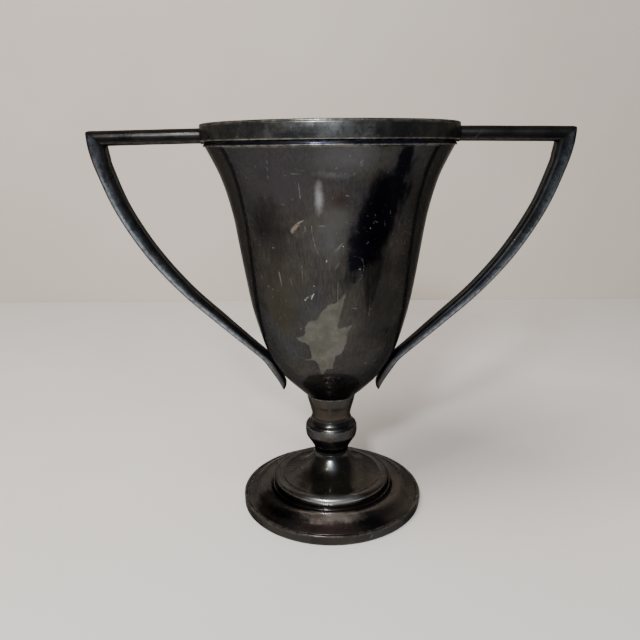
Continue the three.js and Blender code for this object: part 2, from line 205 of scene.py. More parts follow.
def mesh_object(name: str, points: np.ndarray, faces: Sequence[Sequence[int]]) -> bpy.types.Object:
    """Makes a smooth-shaded mesh object that stands at the origin.

    Args:
        name: The object's name.
        points: The points, one row each.
        faces: The corners of each face, by number.

    Returns:
        The object.
    """
    mesh = bpy.data.meshes.new(name)
    mesh.from_pydata([tuple(p) for p in points], [], [tuple(f) for f in faces])
    mesh.polygons.foreach_set("use_smooth", [True] * len(mesh.polygons))
    mesh.update()
    made = bpy.data.objects.new(name, mesh)
    bpy.context.scene.collection.objects.link(made)
    return made


def wire_object(name: str, points: np.ndarray, edges: Sequence[tuple[int, int]]) -> bpy.types.Object:
    """Makes a mesh object of points joined by edges alone.

    Args:
        name: The object's name.
        points: The points, one row each.
        edges: The two ends of each edge.

    Returns:
        The object.
    """
    mesh = bpy.data.meshes.new(name)
    mesh.from_pydata([tuple(p) for p in points], edges, [])
    made = bpy.data.objects.new(name, mesh)
    bpy.context.scene.collection.objects.link(made)
    return made


def points_of(piece: bpy.types.Object) -> np.ndarray:
    """Gives a mesh's points, one row each.

    Args:
        piece: The piece.

    Returns:
        The points.
    """
    flat = np.zeros(len(piece.data.vertices) * 3)
    piece.data.vertices.foreach_get("co", flat)
    return flat.reshape(-1, 3)


def move_points(piece: bpy.types.Object, points: np.ndarray) -> None:
    """Puts a mesh's points in new places."""
    piece.data.vertices.foreach_set("co", points.ravel())
    piece.data.update()


def store(piece: bpy.types.Object, name: str, values: np.ndarray) -> None:
    """Stores one number for each point of a mesh."""
    found = piece.data.attributes.get(name) or piece.data.attributes.new(name, "FLOAT", "POINT")
    found.data.foreach_set("value", np.asarray(values, np.float32))


def face_outward(piece: bpy.types.Object) -> None:
    """Turns every face of a closed mesh to look outward.

    Args:
        piece: The piece.
    """
    work = bmesh.new()
    work.from_mesh(piece.data)
    bmesh.ops.recalc_face_normals(work, faces=work.faces[:])
    work.to_mesh(piece.data)
    work.free()
    piece.data.update()


def ripple(piece: bpy.types.Object, size: float, scale: float, seed: float) -> None:
    """Gives a surface the faint waviness of hand-worked sheet.

    Args:
        piece: The piece.
        size: How far a point may move along its normal.
        scale: The waves' frequency, for each metre.
        seed: A shift of the pattern.
    """
    normals = np.zeros(len(piece.data.vertices) * 3)
    piece.data.vertices.foreach_get("normal", normals)
    points = points_of(piece)
    shift = Vector((seed, seed * 1.7, -seed))
    waves = np.array([noise.noise(Vector(p) * scale + shift) for p in points])
    move_points(piece, points + normals.reshape(-1, 3) * (waves * size)[:, None])


# ---------------------------------------------------------------- geometry node trees


class Graph:
    """A tree of nodes in the making."""

    def __init__(self, tree: bpy.types.NodeTree) -> None:
        """Takes the tree that the nodes go in."""
        self.tree = tree

    def put(self, socket: Socket, value: object) -> None:
        """Links another node's output to a socket, or sets the socket's own value.

        Args:
            socket: The input socket.
            value: A value, or another node's output.
        """
        if isinstance(value, Socket):
            self.tree.links.new(value, socket)
        else:
            socket.default_value = value

    def add(self, kind: str, inputs: Inputs | None = None, **settings: object) -> bpy.types.Node:
        """Adds a node.

        Args:
            kind: The node's type.
            inputs: For each input socket, by name or number, a value or another node's output.
            settings: The node's own properties.

        Returns:
            The node.
        """
        node = self.tree.nodes.new(kind)
        for key, value in settings.items():
            setattr(node, key, value)
        for key, value in (inputs or {}).items():
            self.put(node.inputs[key], value)
        return node

    def math(self, operation: str, a: object, b: object = 0.0) -> Socket:
        """Adds a maths node and gives its result."""
        return self.add("ShaderNodeMath", {0: a, 1: b}, operation=operation).outputs[0]


class Tree(Graph):
    """A geometry node tree in the making."""

    def __init__(self, name: str, inputs: dict[str, str]) -> None:
        """Makes a tree with one geometry in and out, and the named inputs of the given kinds.

        Args:
            name: The tree's name.
            inputs: The kind of each further input, by name.
        """
        super().__init__(bpy.data.node_groups.new(name, "GeometryNodeTree"))
        self.tree.is_modifier = True
        face = self.tree.interface
        face.new_socket("Geometry", in_out="OUTPUT", socket_type="NodeSocketGeometry")
        face.new_socket("Geometry", in_out="INPUT", socket_type="NodeSocketGeometry")
        kinds = {key: f"NodeSocket{kind}" for key, kind in inputs.items()}
        made = {key: face.new_socket(key, in_out="INPUT", socket_type=kind) for key, kind in kinds.items()}
        self.identifiers = {key: socket.identifier for key, socket in made.items()}
        self.input = self.tree.nodes.new("NodeGroupInput")
        self.output = self.tree.nodes.new("NodeGroupOutput")

    def finish(self, geometry: Socket, material: Socket) -> None:
        """Ends the tree in Realize Instances and Set Material.

        Args:
            geometry: The finished geometry.
            material: The material that it gets.
        """
        whole = self.add("GeometryNodeRealizeInstances", {0: geometry})
        painted = self.add("GeometryNodeSetMaterial", {"Geometry": whole.outputs[0], "Material": material})
        self.put(self.output.inputs[0], painted.outputs[0])


def applied(piece: bpy.types.Object, recipe: Tree, values: dict[str, object]) -> bpy.types.Object:
    """Runs a tree on an object and turns the result into a plain mesh.

    Args:
        piece: The object whose mesh the tree starts from.
        recipe: The tree.
        values: The tree's inputs, by name.

    Returns:
        The same object, with the finished mesh and no modifier.
    """
    modifier = piece.modifiers.new(recipe.tree.name, "NODES")
    modifier.node_group = recipe.tree
    for name, value in values.items():
        modifier[recipe.identifiers[name]] = value
    seen = piece.evaluated_get(bpy.context.evaluated_depsgraph_get())
    mesh = bpy.data.meshes.new_from_object(seen)
    piece.modifiers.remove(modifier)
    old = piece.data
    piece.data = mesh
    mesh.name = piece.name
    bpy.data.meshes.remove(old)
    return piece


def turning_tree() -> Tree:
    """Builds the tree that turns a profile about Z, with columns set closer together at the front.

    Returns:
        The tree.
    """
    tree = Tree("turning", {"Steps": "Int", "Front Bias": "Float", "Finish": "Material"})
    given = tree.input.outputs
    count = tree.add("GeometryNodeAttributeDomainSize", {"Geometry": given[0]}, component="MESH").outputs[0]
    columns = tree.math("ADD", given["Steps"], 1.0)
    grid = tree.add("GeometryNodeMeshGrid", {"Vertices X": columns, "Vertices Y": count}).outputs["Mesh"]
    index = tree.add("GeometryNodeInputIndex").outputs[0]
    row = tree.math("FLOORED_MODULO", index, count)
    share = tree.math("DIVIDE", tree.math("FLOOR", tree.math("DIVIDE", index, count)), given["Steps"])
    round_angle = tree.math("MULTIPLY", share, 2 * math.pi)
    crowd = tree.math("MULTIPLY", tree.math("SINE", round_angle), given["Front Bias"])
    angle = tree.math("ADD", round_angle, crowd)
    place = tree.add("GeometryNodeInputPosition").outputs[0]
    corner = tree.add(
        "GeometryNodeSampleIndex",
        {"Geometry": given[0], "Value": place, "Index": row},
        data_type="FLOAT_VECTOR",
        domain="POINT",
    ).outputs[0]
    split = tree.add("ShaderNodeSeparateXYZ", {0: corner}).outputs
    x = tree.math("MULTIPLY", split[0], tree.math("SINE", angle))
    y = tree.math("MULTIPLY", split[0], tree.math("COSINE", angle))
    target = tree.add("ShaderNodeCombineXYZ", {0: x, 1: y, 2: split[2]}).outputs[0]
    moved = tree.add("GeometryNodeSetPosition", {"Geometry": grid, "Position": target}).outputs[0]
    wear = tree.add("GeometryNodeInputNamedAttribute", {"Name": "wear"}, data_type="FLOAT").outputs[0]
    worn = tree.add(
        "GeometryNodeSampleIndex",
        {"Geometry": given[0], "Value": wear, "Index": row},
        data_type="FLOAT",
        domain="POINT",
    ).outputs[0]
    kept = tree.add(
        "GeometryNodeStoreNamedAttribute",
        {"Geometry": moved, "Name": "wear", "Value": worn},
        data_type="FLOAT",
        domain="POINT",
    ).outputs[0]
    closed = tree.add("GeometryNodeMergeByDistance", {"Geometry": kept, "Distance": 0.001 * MM}).outputs[0]
    soft = tree.add("GeometryNodeSetShadeSmooth", {"Geometry": closed}).outputs[0]
    tree.finish(soft, given["Finish"])
    return tree


def seam_tree() -> Tree:
    """Builds the tree that lays an uneven line of solder along a closed path.

    Returns:
        The tree.
    """
    inputs = {"Width": "Float", "Unevenness": "Float", "Count": "Int", "Seed": "Int", "Finish": "Material"}
    tree = Tree("solder_seam", inputs)
    given = tree.input.outputs
    path = tree.add("GeometryNodeMeshToCurve", {0: given[0]}).outputs[0]
    fine = tree.add("GeometryNodeResampleCurve", {"Curve": path, "Count": given["Count"]}).outputs[0]
    shake = tree.add(
        "FunctionNodeRandomValue", {2: 0.25, 3: 1.0, "Seed": given["Seed"]}, data_type="FLOAT"
    ).outputs[1]
    wide = tree.math("MULTIPLY", given["Width"], shake)
    ring = tree.add("GeometryNodeCurvePrimitiveCircle", {"Resolution": 8, "Radius": 1.0}).outputs["Curve"]
    tube = {"Curve": fine, "Profile Curve": ring, "Scale": wide, "Fill Caps": True}
    body = tree.add("GeometryNodeCurveToMesh", tube)
    normal = tree.add("GeometryNodeInputNormal").outputs[0]
    lump = tree.add("ShaderNodeTexNoise", {"Scale": 900.0, "Detail": 2.0}).outputs[0]
    push = tree.math("MULTIPLY", tree.math("SUBTRACT", lump, 0.5), given["Unevenness"])
    shift = tree.add("ShaderNodeVectorMath", {0: normal, "Scale": push}, operation="SCALE").outputs[0]
    uneven = tree.add("GeometryNodeSetPosition", {"Geometry": body.outputs[0], "Offset": shift}).outputs[0]
    soft = tree.add("GeometryNodeSetShadeSmooth", {"Geometry": uneven}).outputs[0]
    tree.finish(soft, given["Finish"])
    return tree


# ---------------------------------------------------------------- shaders


class Grain(Enum):
    """The direction in which a surface was rubbed."""

    UPRIGHT = "upright"
    AROUND = "around"
    ALONG = "along"


@dataclass(frozen=True)
class Cloud:
    """A soft-edged patch of colour: tarnish that is thicker, thinner or of another colour, or a painted
    highlight, reflection or shade.

    Attributes:
        centre: Its middle, in millimetres.
        reach: Its half size along each axis, in millimetres.
        tone: Its colour.
        share: How strongly it shows where it is full.
        dull: How much of the surface's gloss it takes away, from 0 to 1.
        lean: How far its upright axis leans towards +X, in degrees.
        soft: The share of its size over which it fades out.
        ragged: How uneven its edge is.
    """

    centre: Rgb
    reach: Rgb
    tone: Rgb
    share: float = 0.8
    dull: float = 0.0
    lean: float = 0.0
    soft: float = 0.6
    ragged: float = 0.7


class Shader(Graph):
    """A material in the making."""

    def __init__(self, name: str) -> None:
        """Makes a material with one principled shader."""
        self.material = bpy.data.materials.new(name)
        self.material.use_nodes = True
        super().__init__(self.material.node_tree)
        self.surface = self.tree.nodes["Principled BSDF"]

    def place(self) -> Socket:
        """Gives the object's own coordinates."""
        return self.add("ShaderNodeTexCoord").outputs["Object"]

    def stretched(self, vector: Socket, scale: Rgb, turn: Rgb = (0, 0, 0)) -> Socket:
        """Turns, then stretches coordinates, each axis by its own share."""
        turned = self.add("ShaderNodeMapping", {"Vector": vector, "Rotation": turn}).outputs[0]
        return self.add("ShaderNodeMapping", {"Vector": turned, "Scale": scale}).outputs[0]

    def noise(self, vector: Socket, scale: float, detail: float = 4.0, rough: float = 0.55,
              distortion: float = 0.0) -> Socket:
        """Adds a noise texture and gives its value.

        Args:
            vector: The coordinates.
            scale: Its frequency, for each metre.
            detail: How many finer layers it has.
            rough: How strong they are.
            distortion: How far it is twisted.

        Returns:
            The noise's value.
        """
        settings = {"Vector": vector, "Scale": scale, "Detail": detail, "Roughness": rough,
                    "Distortion": distortion}
        return self.add("ShaderNodeTexNoise", settings).outputs[0]

    def step(self, value: object, low: float, high: float, to_low: float = 0.0,
             to_high: float = 1.0) -> Socket:
        """Maps low to high smoothly onto to_low to to_high."""
        inputs = {"Value": value, "From Min": low, "From Max": high, "To Min": to_low, "To Max": to_high}
        return self.add("ShaderNodeMapRange", inputs, interpolation_type="SMOOTHSTEP").outputs[0]

    def mix(self, share: object, a: object, b: object, mode: str = "MIX") -> Socket:
        """Mixes two colours.

        Args:
            share: How much of the second colour shows.
            a: The first colour.
            b: The second colour.
            mode: The way of mixing.

        Returns:
            The mixed colour.
        """
        node = self.add("ShaderNodeMix", {"Factor": share}, data_type="RGBA", blend_type=mode)
        for key, value in ((6, a), (7, b)):
            self.put(node.inputs[key], value if isinstance(value, Socket) else (*value, 1.0))
        return node.outputs[2]

    def bump(self, height: Socket, strength: float, distance: float) -> Socket:
        """Adds a bump and gives its normal."""
        inputs = {"Height": height, "Strength": strength, "Distance": distance}
        return self.add("ShaderNodeBump", inputs).outputs[0]

    def attribute(self, name: str) -> Socket:
        """Reads a number stored on the mesh's points."""
        return self.add("ShaderNodeAttribute", attribute_name=name).outputs["Fac"]

    def specks(self, vector: Socket, scale: float, size: float) -> Socket:
        """Scatters small spots, 1 inside a spot and 0 outside."""
        cells = self.add("ShaderNodeTexVoronoi", {"Vector": vector, "Scale": scale})
        return self.step(cells.outputs["Distance"], size, size * 0.5)

    def scratches(self, vector: Socket, turn: Rgb, scale: float, fine: float) -> Socket:
        """Scatters thin straight lines along one direction, 1 on a line."""
        lines = self.noise(self.stretched(vector, (1.0, 1.0, 0.035), turn), scale, 1.0, 0.4)
        return self.step(lines, fine, fine + 0.035)

    def cloud(self, place: Socket, cloud: Cloud, shake: Socket) -> Socket:
        """Shapes a cloud.

        Args:
            place: The coordinates.
            cloud: The cloud.
            shake: A noise round 0 that makes the edge uneven.

        Returns:
            The cloud's share where it is full, fading to 0 at its edge.
        """
        inputs = {
            "Vector": place,
            "Location": tuple(v * MM for v in cloud.centre),
            "Rotation": (0.0, math.radians(cloud.lean), 0.0),
            "Scale": tuple(v * MM for v in cloud.reach),
        }
        local = self.add("ShaderNodeMapping", inputs, vector_type="TEXTURE").outputs[0]
        away = self.add("ShaderNodeVectorMath", {0: local}, operation="LENGTH").outputs["Value"]
        uneven = self.math("ADD", away, self.math("MULTIPLY", shake, cloud.ragged))
        return self.step(uneven, 1.0, 1.0 - cloud.soft, 0.0, cloud.share)

    def finish(self, sockets: dict[str, object]) -> bpy.types.Material:
        """Sets or links the principled shader's inputs and gives the material.

        Args:
            sockets: For each input, by name, a value or another node's output.

        Returns:
            The material.
        """
        for key, value in sockets.items():
            self.put(self.surface.inputs[key], value)
        return self.material


@dataclass(frozen=True)
class TarnishedPlate:
    """Silver plate under dark tarnish, rubbed in one direction and worn on its edges, with painted
    highlights, reflections and shade from some of its clouds and from its stripes.
    """

    name: str
    slot: str
    grain: Grain
    dark: Rgb = (0.022, 0.021, 0.024)
    warm: Rgb = (0.036, 0.026, 0.023)
    olive: Rgb = (0.042, 0.041, 0.031)
    cool: Rgb = (0.026, 0.029, 0.042)
    worn: Rgb = (0.34, 0.325, 0.29)
    metallic: float = 0.92
    roughness: float = 0.30
    gloss: float = 0.5
    gloss_roughness: float = 0.09
    mottle: float = 38.0
    streak: float = 0.16
    grime: float = 0.35
    scratch_share: float = 0.35
    speck_share: float = 0.5
    edge_share: float = 0.7
    clouds: tuple[Cloud, ...] = ()
    marked: bool = False
    # sheen: the strength of a handle's painted highlight stripe; when it is set, a dark band of painted shade
    # is laid beside the stripe too
    sheen: float = 0.0
    blotch: float = 0.0

    def rubbing(self, shader: Shader, place: Socket) -> Socket:
        """Gives coordinates stretched along the direction of rubbing.

        Args:
            shader: The material.
            place: The object's coordinates.

        Returns:
            The stretched coordinates.
        """
        if self.grain is Grain.UPRIGHT:
            return shader.stretched(place, (1.0, 1.0, 0.03), (0.03, -0.02, 0.0))
        if self.grain is Grain.ALONG:
            along = shader.add("ShaderNodeUVMap", uv_map="surface").outputs[0]
            return shader.stretched(along, (0.05, 1.0, 1.0))
        split = shader.add("ShaderNodeSeparateXYZ", {0: place}).outputs
        flat = shader.add("ShaderNodeCombineXYZ", {0: split[0], 1: split[1]}).outputs[0]
        radius = shader.add("ShaderNodeVectorMath", {0: flat}, operation="LENGTH").outputs["Value"]
        slow = shader.add("ShaderNodeVectorMath", {0: flat, "Scale": 0.03}, operation="SCALE").outputs[0]
        ringed = shader.add("ShaderNodeCombineXYZ", {0: radius, 2: split[2]}).outputs[0]
        return shader.add("ShaderNodeVectorMath", {0: ringed, 1: slow}, operation="ADD").outputs[0]

    def tones(self, shader: Shader, place: Socket, rubbed: Socket) -> Socket:
        """Lays the tarnish's clouds of brown, olive and blue-grey over its dark ground.

        Args:
            shader: The material.
            place: The object's coordinates.
            rubbed: The coordinates stretched along the rubbing.

        Returns:
            The colour.
        """
        clouds = shader.noise(place, self.mottle * 0.6, 5.0, 0.6, 0.4)
        greens = shader.noise(shader.stretched(place, (1, 1, 0.6), (0.4, 0.2, 0.9)), self.mottle, 6.0, 0.66)
        blues = shader.noise(shader.stretched(place, (1, 1, 0.5), (1.1, 0.7, 0.1)), self.mottle * 0.8, 5.0)
        tone = shader.mix(shader.step(clouds, 0.40, 0.66), self.dark, self.warm)
        tone = shader.mix(shader.step(greens, 0.44, 0.70), tone, self.olive)
        tone = shader.mix(shader.step(blues, 0.48, 0.72, 0.0, 0.8), tone, self.cool)
        streaks = shader.noise(rubbed, 1100.0, 4.0, 0.7)
        fine = shader.step(streaks, 0.3, 0.7, 1.0 - self.streak, 1.0 + self.streak)
        return shader.mix(1.0, tone, self.grey(shader, fine), "MULTIPLY")

    @staticmethod
    def grey(shader: Shader, value: Socket) -> Socket:
        """Turns a number into a grey colour."""
        return shader.add("ShaderNodeCombineXYZ", {0: value, 1: value, 2: value}).outputs[0]

    def wear_lines(self, shader: Shader, place: Socket) -> Socket:
        """Scatters fine scratches that run in a few directions, in patches.

        Args:
            shader: The material.
            place: The object's coordinates.

        Returns:
            How strongly a scratch shows at each place.
        """
        lines = None
        for turn, scale in (((0.0, 0.12, 0.2), 700.0), ((0.1, -0.7, 0.5), 620.0), ((0.3, 1.3, 1.1), 820.0)):
            found = shader.scratches(place, turn, scale, 0.72)
            lines = found if lines is None else shader.math("MAXIMUM", lines, found)
        where = shader.step(shader.noise(place, 55.0, 3.0), 0.48, 0.66)
        return shader.math("MULTIPLY", shader.math("MULTIPLY", lines, where), self.scratch_share)

    def build(self) -> bpy.types.Material:
        """Builds the material.

        Returns:
            The material.
        """
        shader = Shader(self.name)
        place = shader.place()
        rubbed = self.rubbing(shader, place)
        tone = self.tones(shader, place, rubbed)
        bloom = shader.step(shader.noise(place, self.mottle * 1.6, 6.0, 0.68), 0.35, 0.7)
        low, high = self.roughness - 0.05, self.roughness + 0.09
        rough = shader.step(shader.noise(place, 75.0, 5.0, 0.62), 0.3, 0.7, low, high)
        dirt = shader.math("MULTIPLY", bloom, self.grime)
        tone = shader.mix(dirt, tone, self.olive)
        tone, kept_gloss = self.cloud_over(shader, place, rubbed, tone)
        if self.blotch:
            speckle = shader.noise(place, self.mottle, 6.0, 0.75, 0.6)
            spots = shader.step(speckle, 0.46, 0.58, 0.0, self.blotch)
            tone = shader.mix(spots, tone, self.cool)
            pale = shader.step(shader.noise(place, self.mottle * 1.3, 6.0, 0.8), 0.58, 0.72, 0.0, self.blotch)
            tone = shader.mix(pale, tone, self.worn)
        # Painted light on the handles: a bright painted highlight stripe near the outer edge and a dark band
        # of painted shade beside it.
        if self.sheen:
            tone, kept_gloss = self.stripes(shader, place, tone)
        lines = self.wear_lines(shader, place)
        dots = shader.math("MULTIPLY", shader.specks(place, 700.0, 0.13),
                           shader.step(shader.noise(place, 60.0, 3.0, 0.6), 0.55, 0.68))
        dots = shader.math("MULTIPLY", dots, self.speck_share)
        edge = shader.math("MULTIPLY", shader.attribute("wear"),
                           shader.step(shader.noise(place, 260.0, 4.0, 0.7), 0.40, 0.60, 0.2, 1.0))
        edge = shader.math("MULTIPLY", edge, self.edge_share)
        tone = shader.mix(edge, tone, self.worn)
        tone = shader.mix(lines, tone, self.worn)
        tone = shader.mix(dots, tone, (0.50, 0.48, 0.43))
        if self.marked:
            tone, rough = self.marks(shader, place, tone, rough)
        total = shader.math("MULTIPLY", shader.noise(rubbed, 1800.0, 3.0), 0.3)
        total = shader.math("ADD", total, shader.math("MULTIPLY", shader.noise(place, 1500.0, 3.0), 0.15))
        total = shader.math("SUBTRACT", total, shader.math("MULTIPLY", lines, 0.4))
        bump = shader.bump(total, 0.12, 0.3 * MM)
        facing = shader.add("ShaderNodeLayerWeight", {"Blend": 0.5}).outputs["Facing"]
        coat = shader.math("MULTIPLY", shader.step(bloom, 0.2, 0.9, 1.0, 0.55), self.gloss)
        coat = shader.math("MULTIPLY", coat, kept_gloss)
        coat = shader.math("MULTIPLY", coat, shader.step(facing, 0.3, 0.75, 1.0, 0.12))
        return shader.finish({
            "Base Color": tone,
            "Roughness": rough,
            "Metallic": self.metallic,
            "Normal": bump,
            "Specular Tint": (0.2, 0.2, 0.2, 1.0),
            "Coat Weight": coat,
            "Coat Roughness": self.gloss_roughness,
            "Coat IOR": 1.45,
        })

    def stripes(self, shader: Shader, place: Socket,
                tone: Socket) -> tuple[Socket, Socket]:
        """Paints a handle's dark band of shade and the bright highlight stripe beside it.

        Args:
            shader: The material.
            place: The object's coordinates.
            tone: The colour so far.

        Returns:
            The colour, and the share of the gloss that is left.
        """
        # thick: the dark band of painted shade, where the gloss is also taken away.
        thick = shader.math("MULTIPLY", shader.attribute("shade"), 0.85)
        tone = shader.mix(thick, tone, (0.005, 0.005, 0.006))
        # The painted highlight stripe, broken up by noise.
        grain = shader.step(shader.noise(place, 480.0, 6.0, 0.8), 0.36, 0.62, 0.22, 1.0)
        patches = shader.step(shader.noise(place, 60.0, 3.0, 0.6), 0.25, 0.60, 0.55, 1.0)
        bright = shader.math("MULTIPLY", shader.math("MULTIPLY", grain, patches), shader.attribute("sheen"))
        tone = shader.mix(shader.math("MULTIPLY", bright, self.sheen), tone, (0.36, 0.43, 0.51))
        return tone, shader.math("SUBTRACT", 1.0, shader.math("MULTIPLY", thick, 0.9))

    def cloud_over(self, shader: Shader, place: Socket, rubbed: Socket,
                   tone: Socket) -> tuple[Socket, object]:
        """Lays the finish's clouds over its tarnish: tarnish patches, and painted highlights, reflections and
        shade.

        Args:
            shader: The material.
            place: The object's coordinates.
            rubbed: The coordinates stretched along the rubbing.
            tone: The colour so far.

        Returns:
            The colour, and the share of the gloss that is left.
        """
        lumps = shader.math("SUBTRACT", shader.noise(place, 110.0, 6.0, 0.7), 0.5)
        lines = shader.math("SUBTRACT", shader.noise(rubbed, 420.0, 3.0, 0.6), 0.5)
        shake = shader.math("ADD", lumps, shader.math("MULTIPLY", lines, 0.5))
        kept: object = 1.0
        for cloud in self.clouds:
            share = shader.cloud(place, cloud, shake)
            tone = shader.mix(share, tone, cloud.tone)
            if cloud.dull:
                loss = shader.math("MULTIPLY", share, cloud.dull)
                kept = shader.math("MULTIPLY", kept, shader.math("SUBTRACT", 1.0, loss))
        return tone, kept

    def marks(self, shader: Shader, place: Socket, tone: Socket,
              rough: Socket) -> tuple[Socket, Socket]:
        """Adds the leaf-shaped rubbed patch, the pale nicks and the long scrapes of the bowl's front.

        Args:
            shader: The material.
            place: The object's coordinates.
            tone: The colour so far.
            rough: The roughness so far.

        Returns:
            The colour and the roughness.
        """
        shake = shader.math("SUBTRACT", shader.noise(place, 700.0, 5.0, 0.75), 0.5)
        ragged = shader.math("ADD", shader.attribute("patch"), shader.math("MULTIPLY", shake, 1.8))
        leaf = shader.step(ragged, 0.3, -0.3)
        cloud = shader.step(shader.noise(place, 200.0, 5.0, 0.7), 0.3, 0.7, 0.7, 1.12)
        pale = shader.mix(1.0, (0.122, 0.123, 0.104), self.grey(shader, cloud), "MULTIPLY")
        fade = shader.step(shader.noise(place, 90.0, 4.0, 0.65), 0.32, 0.62, 0.68, 0.92)
        tone = shader.mix(shader.math("MULTIPLY", leaf, fade), tone, pale)
        rough = shader.math("ADD", rough, shader.math("MULTIPLY", leaf, 0.16))
        away = shader.math("ADD", shader.attribute("nicks"), shader.math("MULTIPLY", shake, 0.7))
        nick = shader.step(away, 0.34, 0.10)
        tone = shader.mix(shader.math("MULTIPLY", nick, 0.8), tone, (0.55, 0.53, 0.46))
        away = shader.math("ADD", shader.attribute("scrapes"), shader.math("MULTIPLY", shake, 0.5))
        scrape = shader.step(away, 0.30, 0.05, 0.0, 0.32)
        tone = shader.mix(scrape, tone, (0.30, 0.30, 0.29))
        return tone, rough


@dataclass(frozen=True)
class PlainMetal:
    """An unplated metal of a hidden fixing, dull and lightly stained."""

    name: str
    slot: str
    base: Rgb
    stain: Rgb
    roughness: float = 0.42

    def build(self) -> bpy.types.Material:
        """Builds the material.

        Returns:
            The material.
        """
        shader = Shader(self.name)
        place = shader.place()
        clouds = shader.noise(place, 320.0, 5.0, 0.6)
        tone = shader.mix(shader.step(clouds, 0.45, 0.65), self.base, self.stain)
        low, high = self.roughness - 0.08, self.roughness + 0.1
        rough = shader.step(shader.noise(place, 500.0, 3.0), 0.3, 0.7, low, high)
        bump = shader.bump(clouds, 0.15, 0.3 * MM)
        return shader.finish({"Base Color": tone, "Roughness": rough, "Metallic": 1.0, "Normal": bump})


@dataclass(frozen=True)
class SolderMetal:
    """Pale soft solder, dulled and grimy in patches."""

    name: str
    slot: str
    bright: Rgb = (0.32, 0.31, 0.29)
    grime: Rgb = (0.035, 0.032, 0.030)

    def build(self) -> bpy.types.Material:
        """Builds the material.

        Returns:
            The material.
        """
        shader = Shader(self.name)
        place = shader.place()
        clouds = shader.noise(place, 330.0, 4.0, 0.65)
        tone = shader.mix(shader.step(clouds, 0.46, 0.64), self.grime, self.bright)
        rough = shader.step(clouds, 0.35, 0.7, 0.6, 0.35)
        return shader.finish({"Base Color": tone, "Roughness": rough, "Metallic": 0.9})


@dataclass
class Workshop:
    """The shared node trees and finishes, and the way a finished piece joins the cup."""

    turning: Tree = field(default_factory=turning_tree)
    seam: Tree = field(default_factory=seam_tree)
    pieces: list[bpy.types.Object] = field(default_factory=list)
    materials: dict[str, tuple[bpy.types.Material, str]] = field(default_factory=dict)

    def learn(self, finishes: Iterable[TarnishedPlate | PlainMetal | SolderMetal]) -> None:
        """Builds each finish once."""
        for finish in finishes:
            self.materials[finish.name] = (finish.build(), finish.slot)

    def turn(self, name: str, profile: Line, finish: str, steps: int = 160,
             bias: float = 0.0) -> bpy.types.Object:
        """Turns a profile about Z.

        Args:
            name: The piece's name.
            profile: Radius and height of each corner, running up on the outer side, in metres.
            finish: The finish's name.
            steps: The number of columns round the piece.
            bias: How much closer the columns stand at the front.

        Returns:
            The piece.
        """
        points = np.stack([profile[:, 0], np.zeros(len(profile)), profile[:, 1]], axis=1)
        piece = wire_object(name, points, [(i, i + 1) for i in range(len(points) - 1)])
        store(piece, "wear", bend_wear(profile, 0.5 * MM))
        material, _ = self.materials[finish]
        made = applied(piece, self.turning, {"Steps": steps, "Front Bias": bias, "Finish": material})
        face_outward(made)
        return made

    def solder(self, name: str, path: np.ndarray, width: float, count: int, seed: int) -> bpy.types.Object:
        """Lays a line of solder along a closed path.

        Args:
            name: The piece's name.
            path: The path's points.
            width: The line's radius where it is fullest.
            count: The number of points along it.
            seed: The seed of its unevenness.

        Returns:
            The piece.
        """
        size = len(path)
        piece = wire_object(name, path, [(i, (i + 1) % size) for i in range(size)])
        material, _ = self.materials["solder"]
        values = {"Width": width, "Unevenness": width, "Count": count, "Seed": seed, "Finish": material}
        return applied(piece, self.seam, values)

    def dress(self, piece: bpy.types.Object, finish: str, *nodes: str) -> bpy.types.Object:
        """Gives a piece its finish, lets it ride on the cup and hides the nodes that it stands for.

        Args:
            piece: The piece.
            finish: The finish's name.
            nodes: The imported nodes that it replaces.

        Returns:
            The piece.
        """
        material, slot = self.materials[finish]
        face_outward(piece)
        piece.data.materials.clear()
        piece.data.materials.append(material)
        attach(piece, ROOT)
        if nodes:
            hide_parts(*nodes)
        self.pieces.append(piece)
        LOG.info("%s: %d faces", piece.name, len(piece.data.polygons))
        return piece


# ---------------------------------------------------------------- bowl and rim

# Shares of the bowl's height and of its mouth radius: a round bottom, a slow taper and a flared lip.
BOWL_OUTLINE = (
    (0.0, 0.0), (0.006, 0.105), (0.027, 0.205), (0.078, 0.329), (0.122, 0.42), (0.167, 0.488),
    (0.211, 0.543), (0.256, 0.583), (0.323, 0.627), (0.412, 0.677), (0.523, 0.721), (0.656, 0.767),
    (0.746, 0.799), (0.835, 0.846), (0.902, 0.895), (0.953, 0.947), (1.0, 1.0),
)

# A distance at which no mark shows, in millimetres.
FAR_OFF = 50.0

# The leaf-shaped rubbed patch on the front: x and height of its corners, in millimetres.
LEAF = (
    (6.9, 128.0), (2.4, 123.4), (-1.0, 122.6), (-4.3, 118.7), (-6.6, 114.6), (-9.7, 114.4), (-12.0, 111.4),
    (-12.0, 107.6), (-13.2, 105.9), (-17.0, 104.3), (-14.2, 102.9), (-11.6, 102.4), (-10.2, 100.5),
    (-9.5, 97.2),
    (-9.0, 94.2), (-13.7, 92.3), (-8.0, 93.1), (-6.1, 90.7), (-5.2, 86.9), (-4.3, 84.1), (-2.8, 86.9),
    (-1.7, 88.2), (0.7, 88.2), (1.4, 91.8), (2.1, 95.6), (5.2, 97.2), (7.5, 103.2), (7.9, 105.9),
    (7.2, 107.0),
    (10.4, 112.5), (7.5, 111.1), (3.8, 110.6), (3.3, 111.9), (4.5, 117.4), (5.7, 122.3),
)
# Nicks: the corners of each, in the same terms.
NICKS = (
    ((-11.8, 124.5), (-10.6, 126.2), (-9.0, 126.9)), ((-8.7, 125.2), (-8.2, 127.0), (-7.3, 128.3)),
    ((-7.8, 132.0), (-7.5, 131.6)), ((19.7, 163.9), (20.3, 163.5)), ((16.4, 151.0), (16.9, 151.8)),
    ((17.6, 158.2), (18.1, 157.6)), ((19.2, 160.6), (19.5, 160.1)), ((5.6, 150.2), (6.1, 150.6)),
    ((-1.8, 143.0), (-1.6, 144.6)), ((12.5, 139.0), (13.6, 139.4)),
)

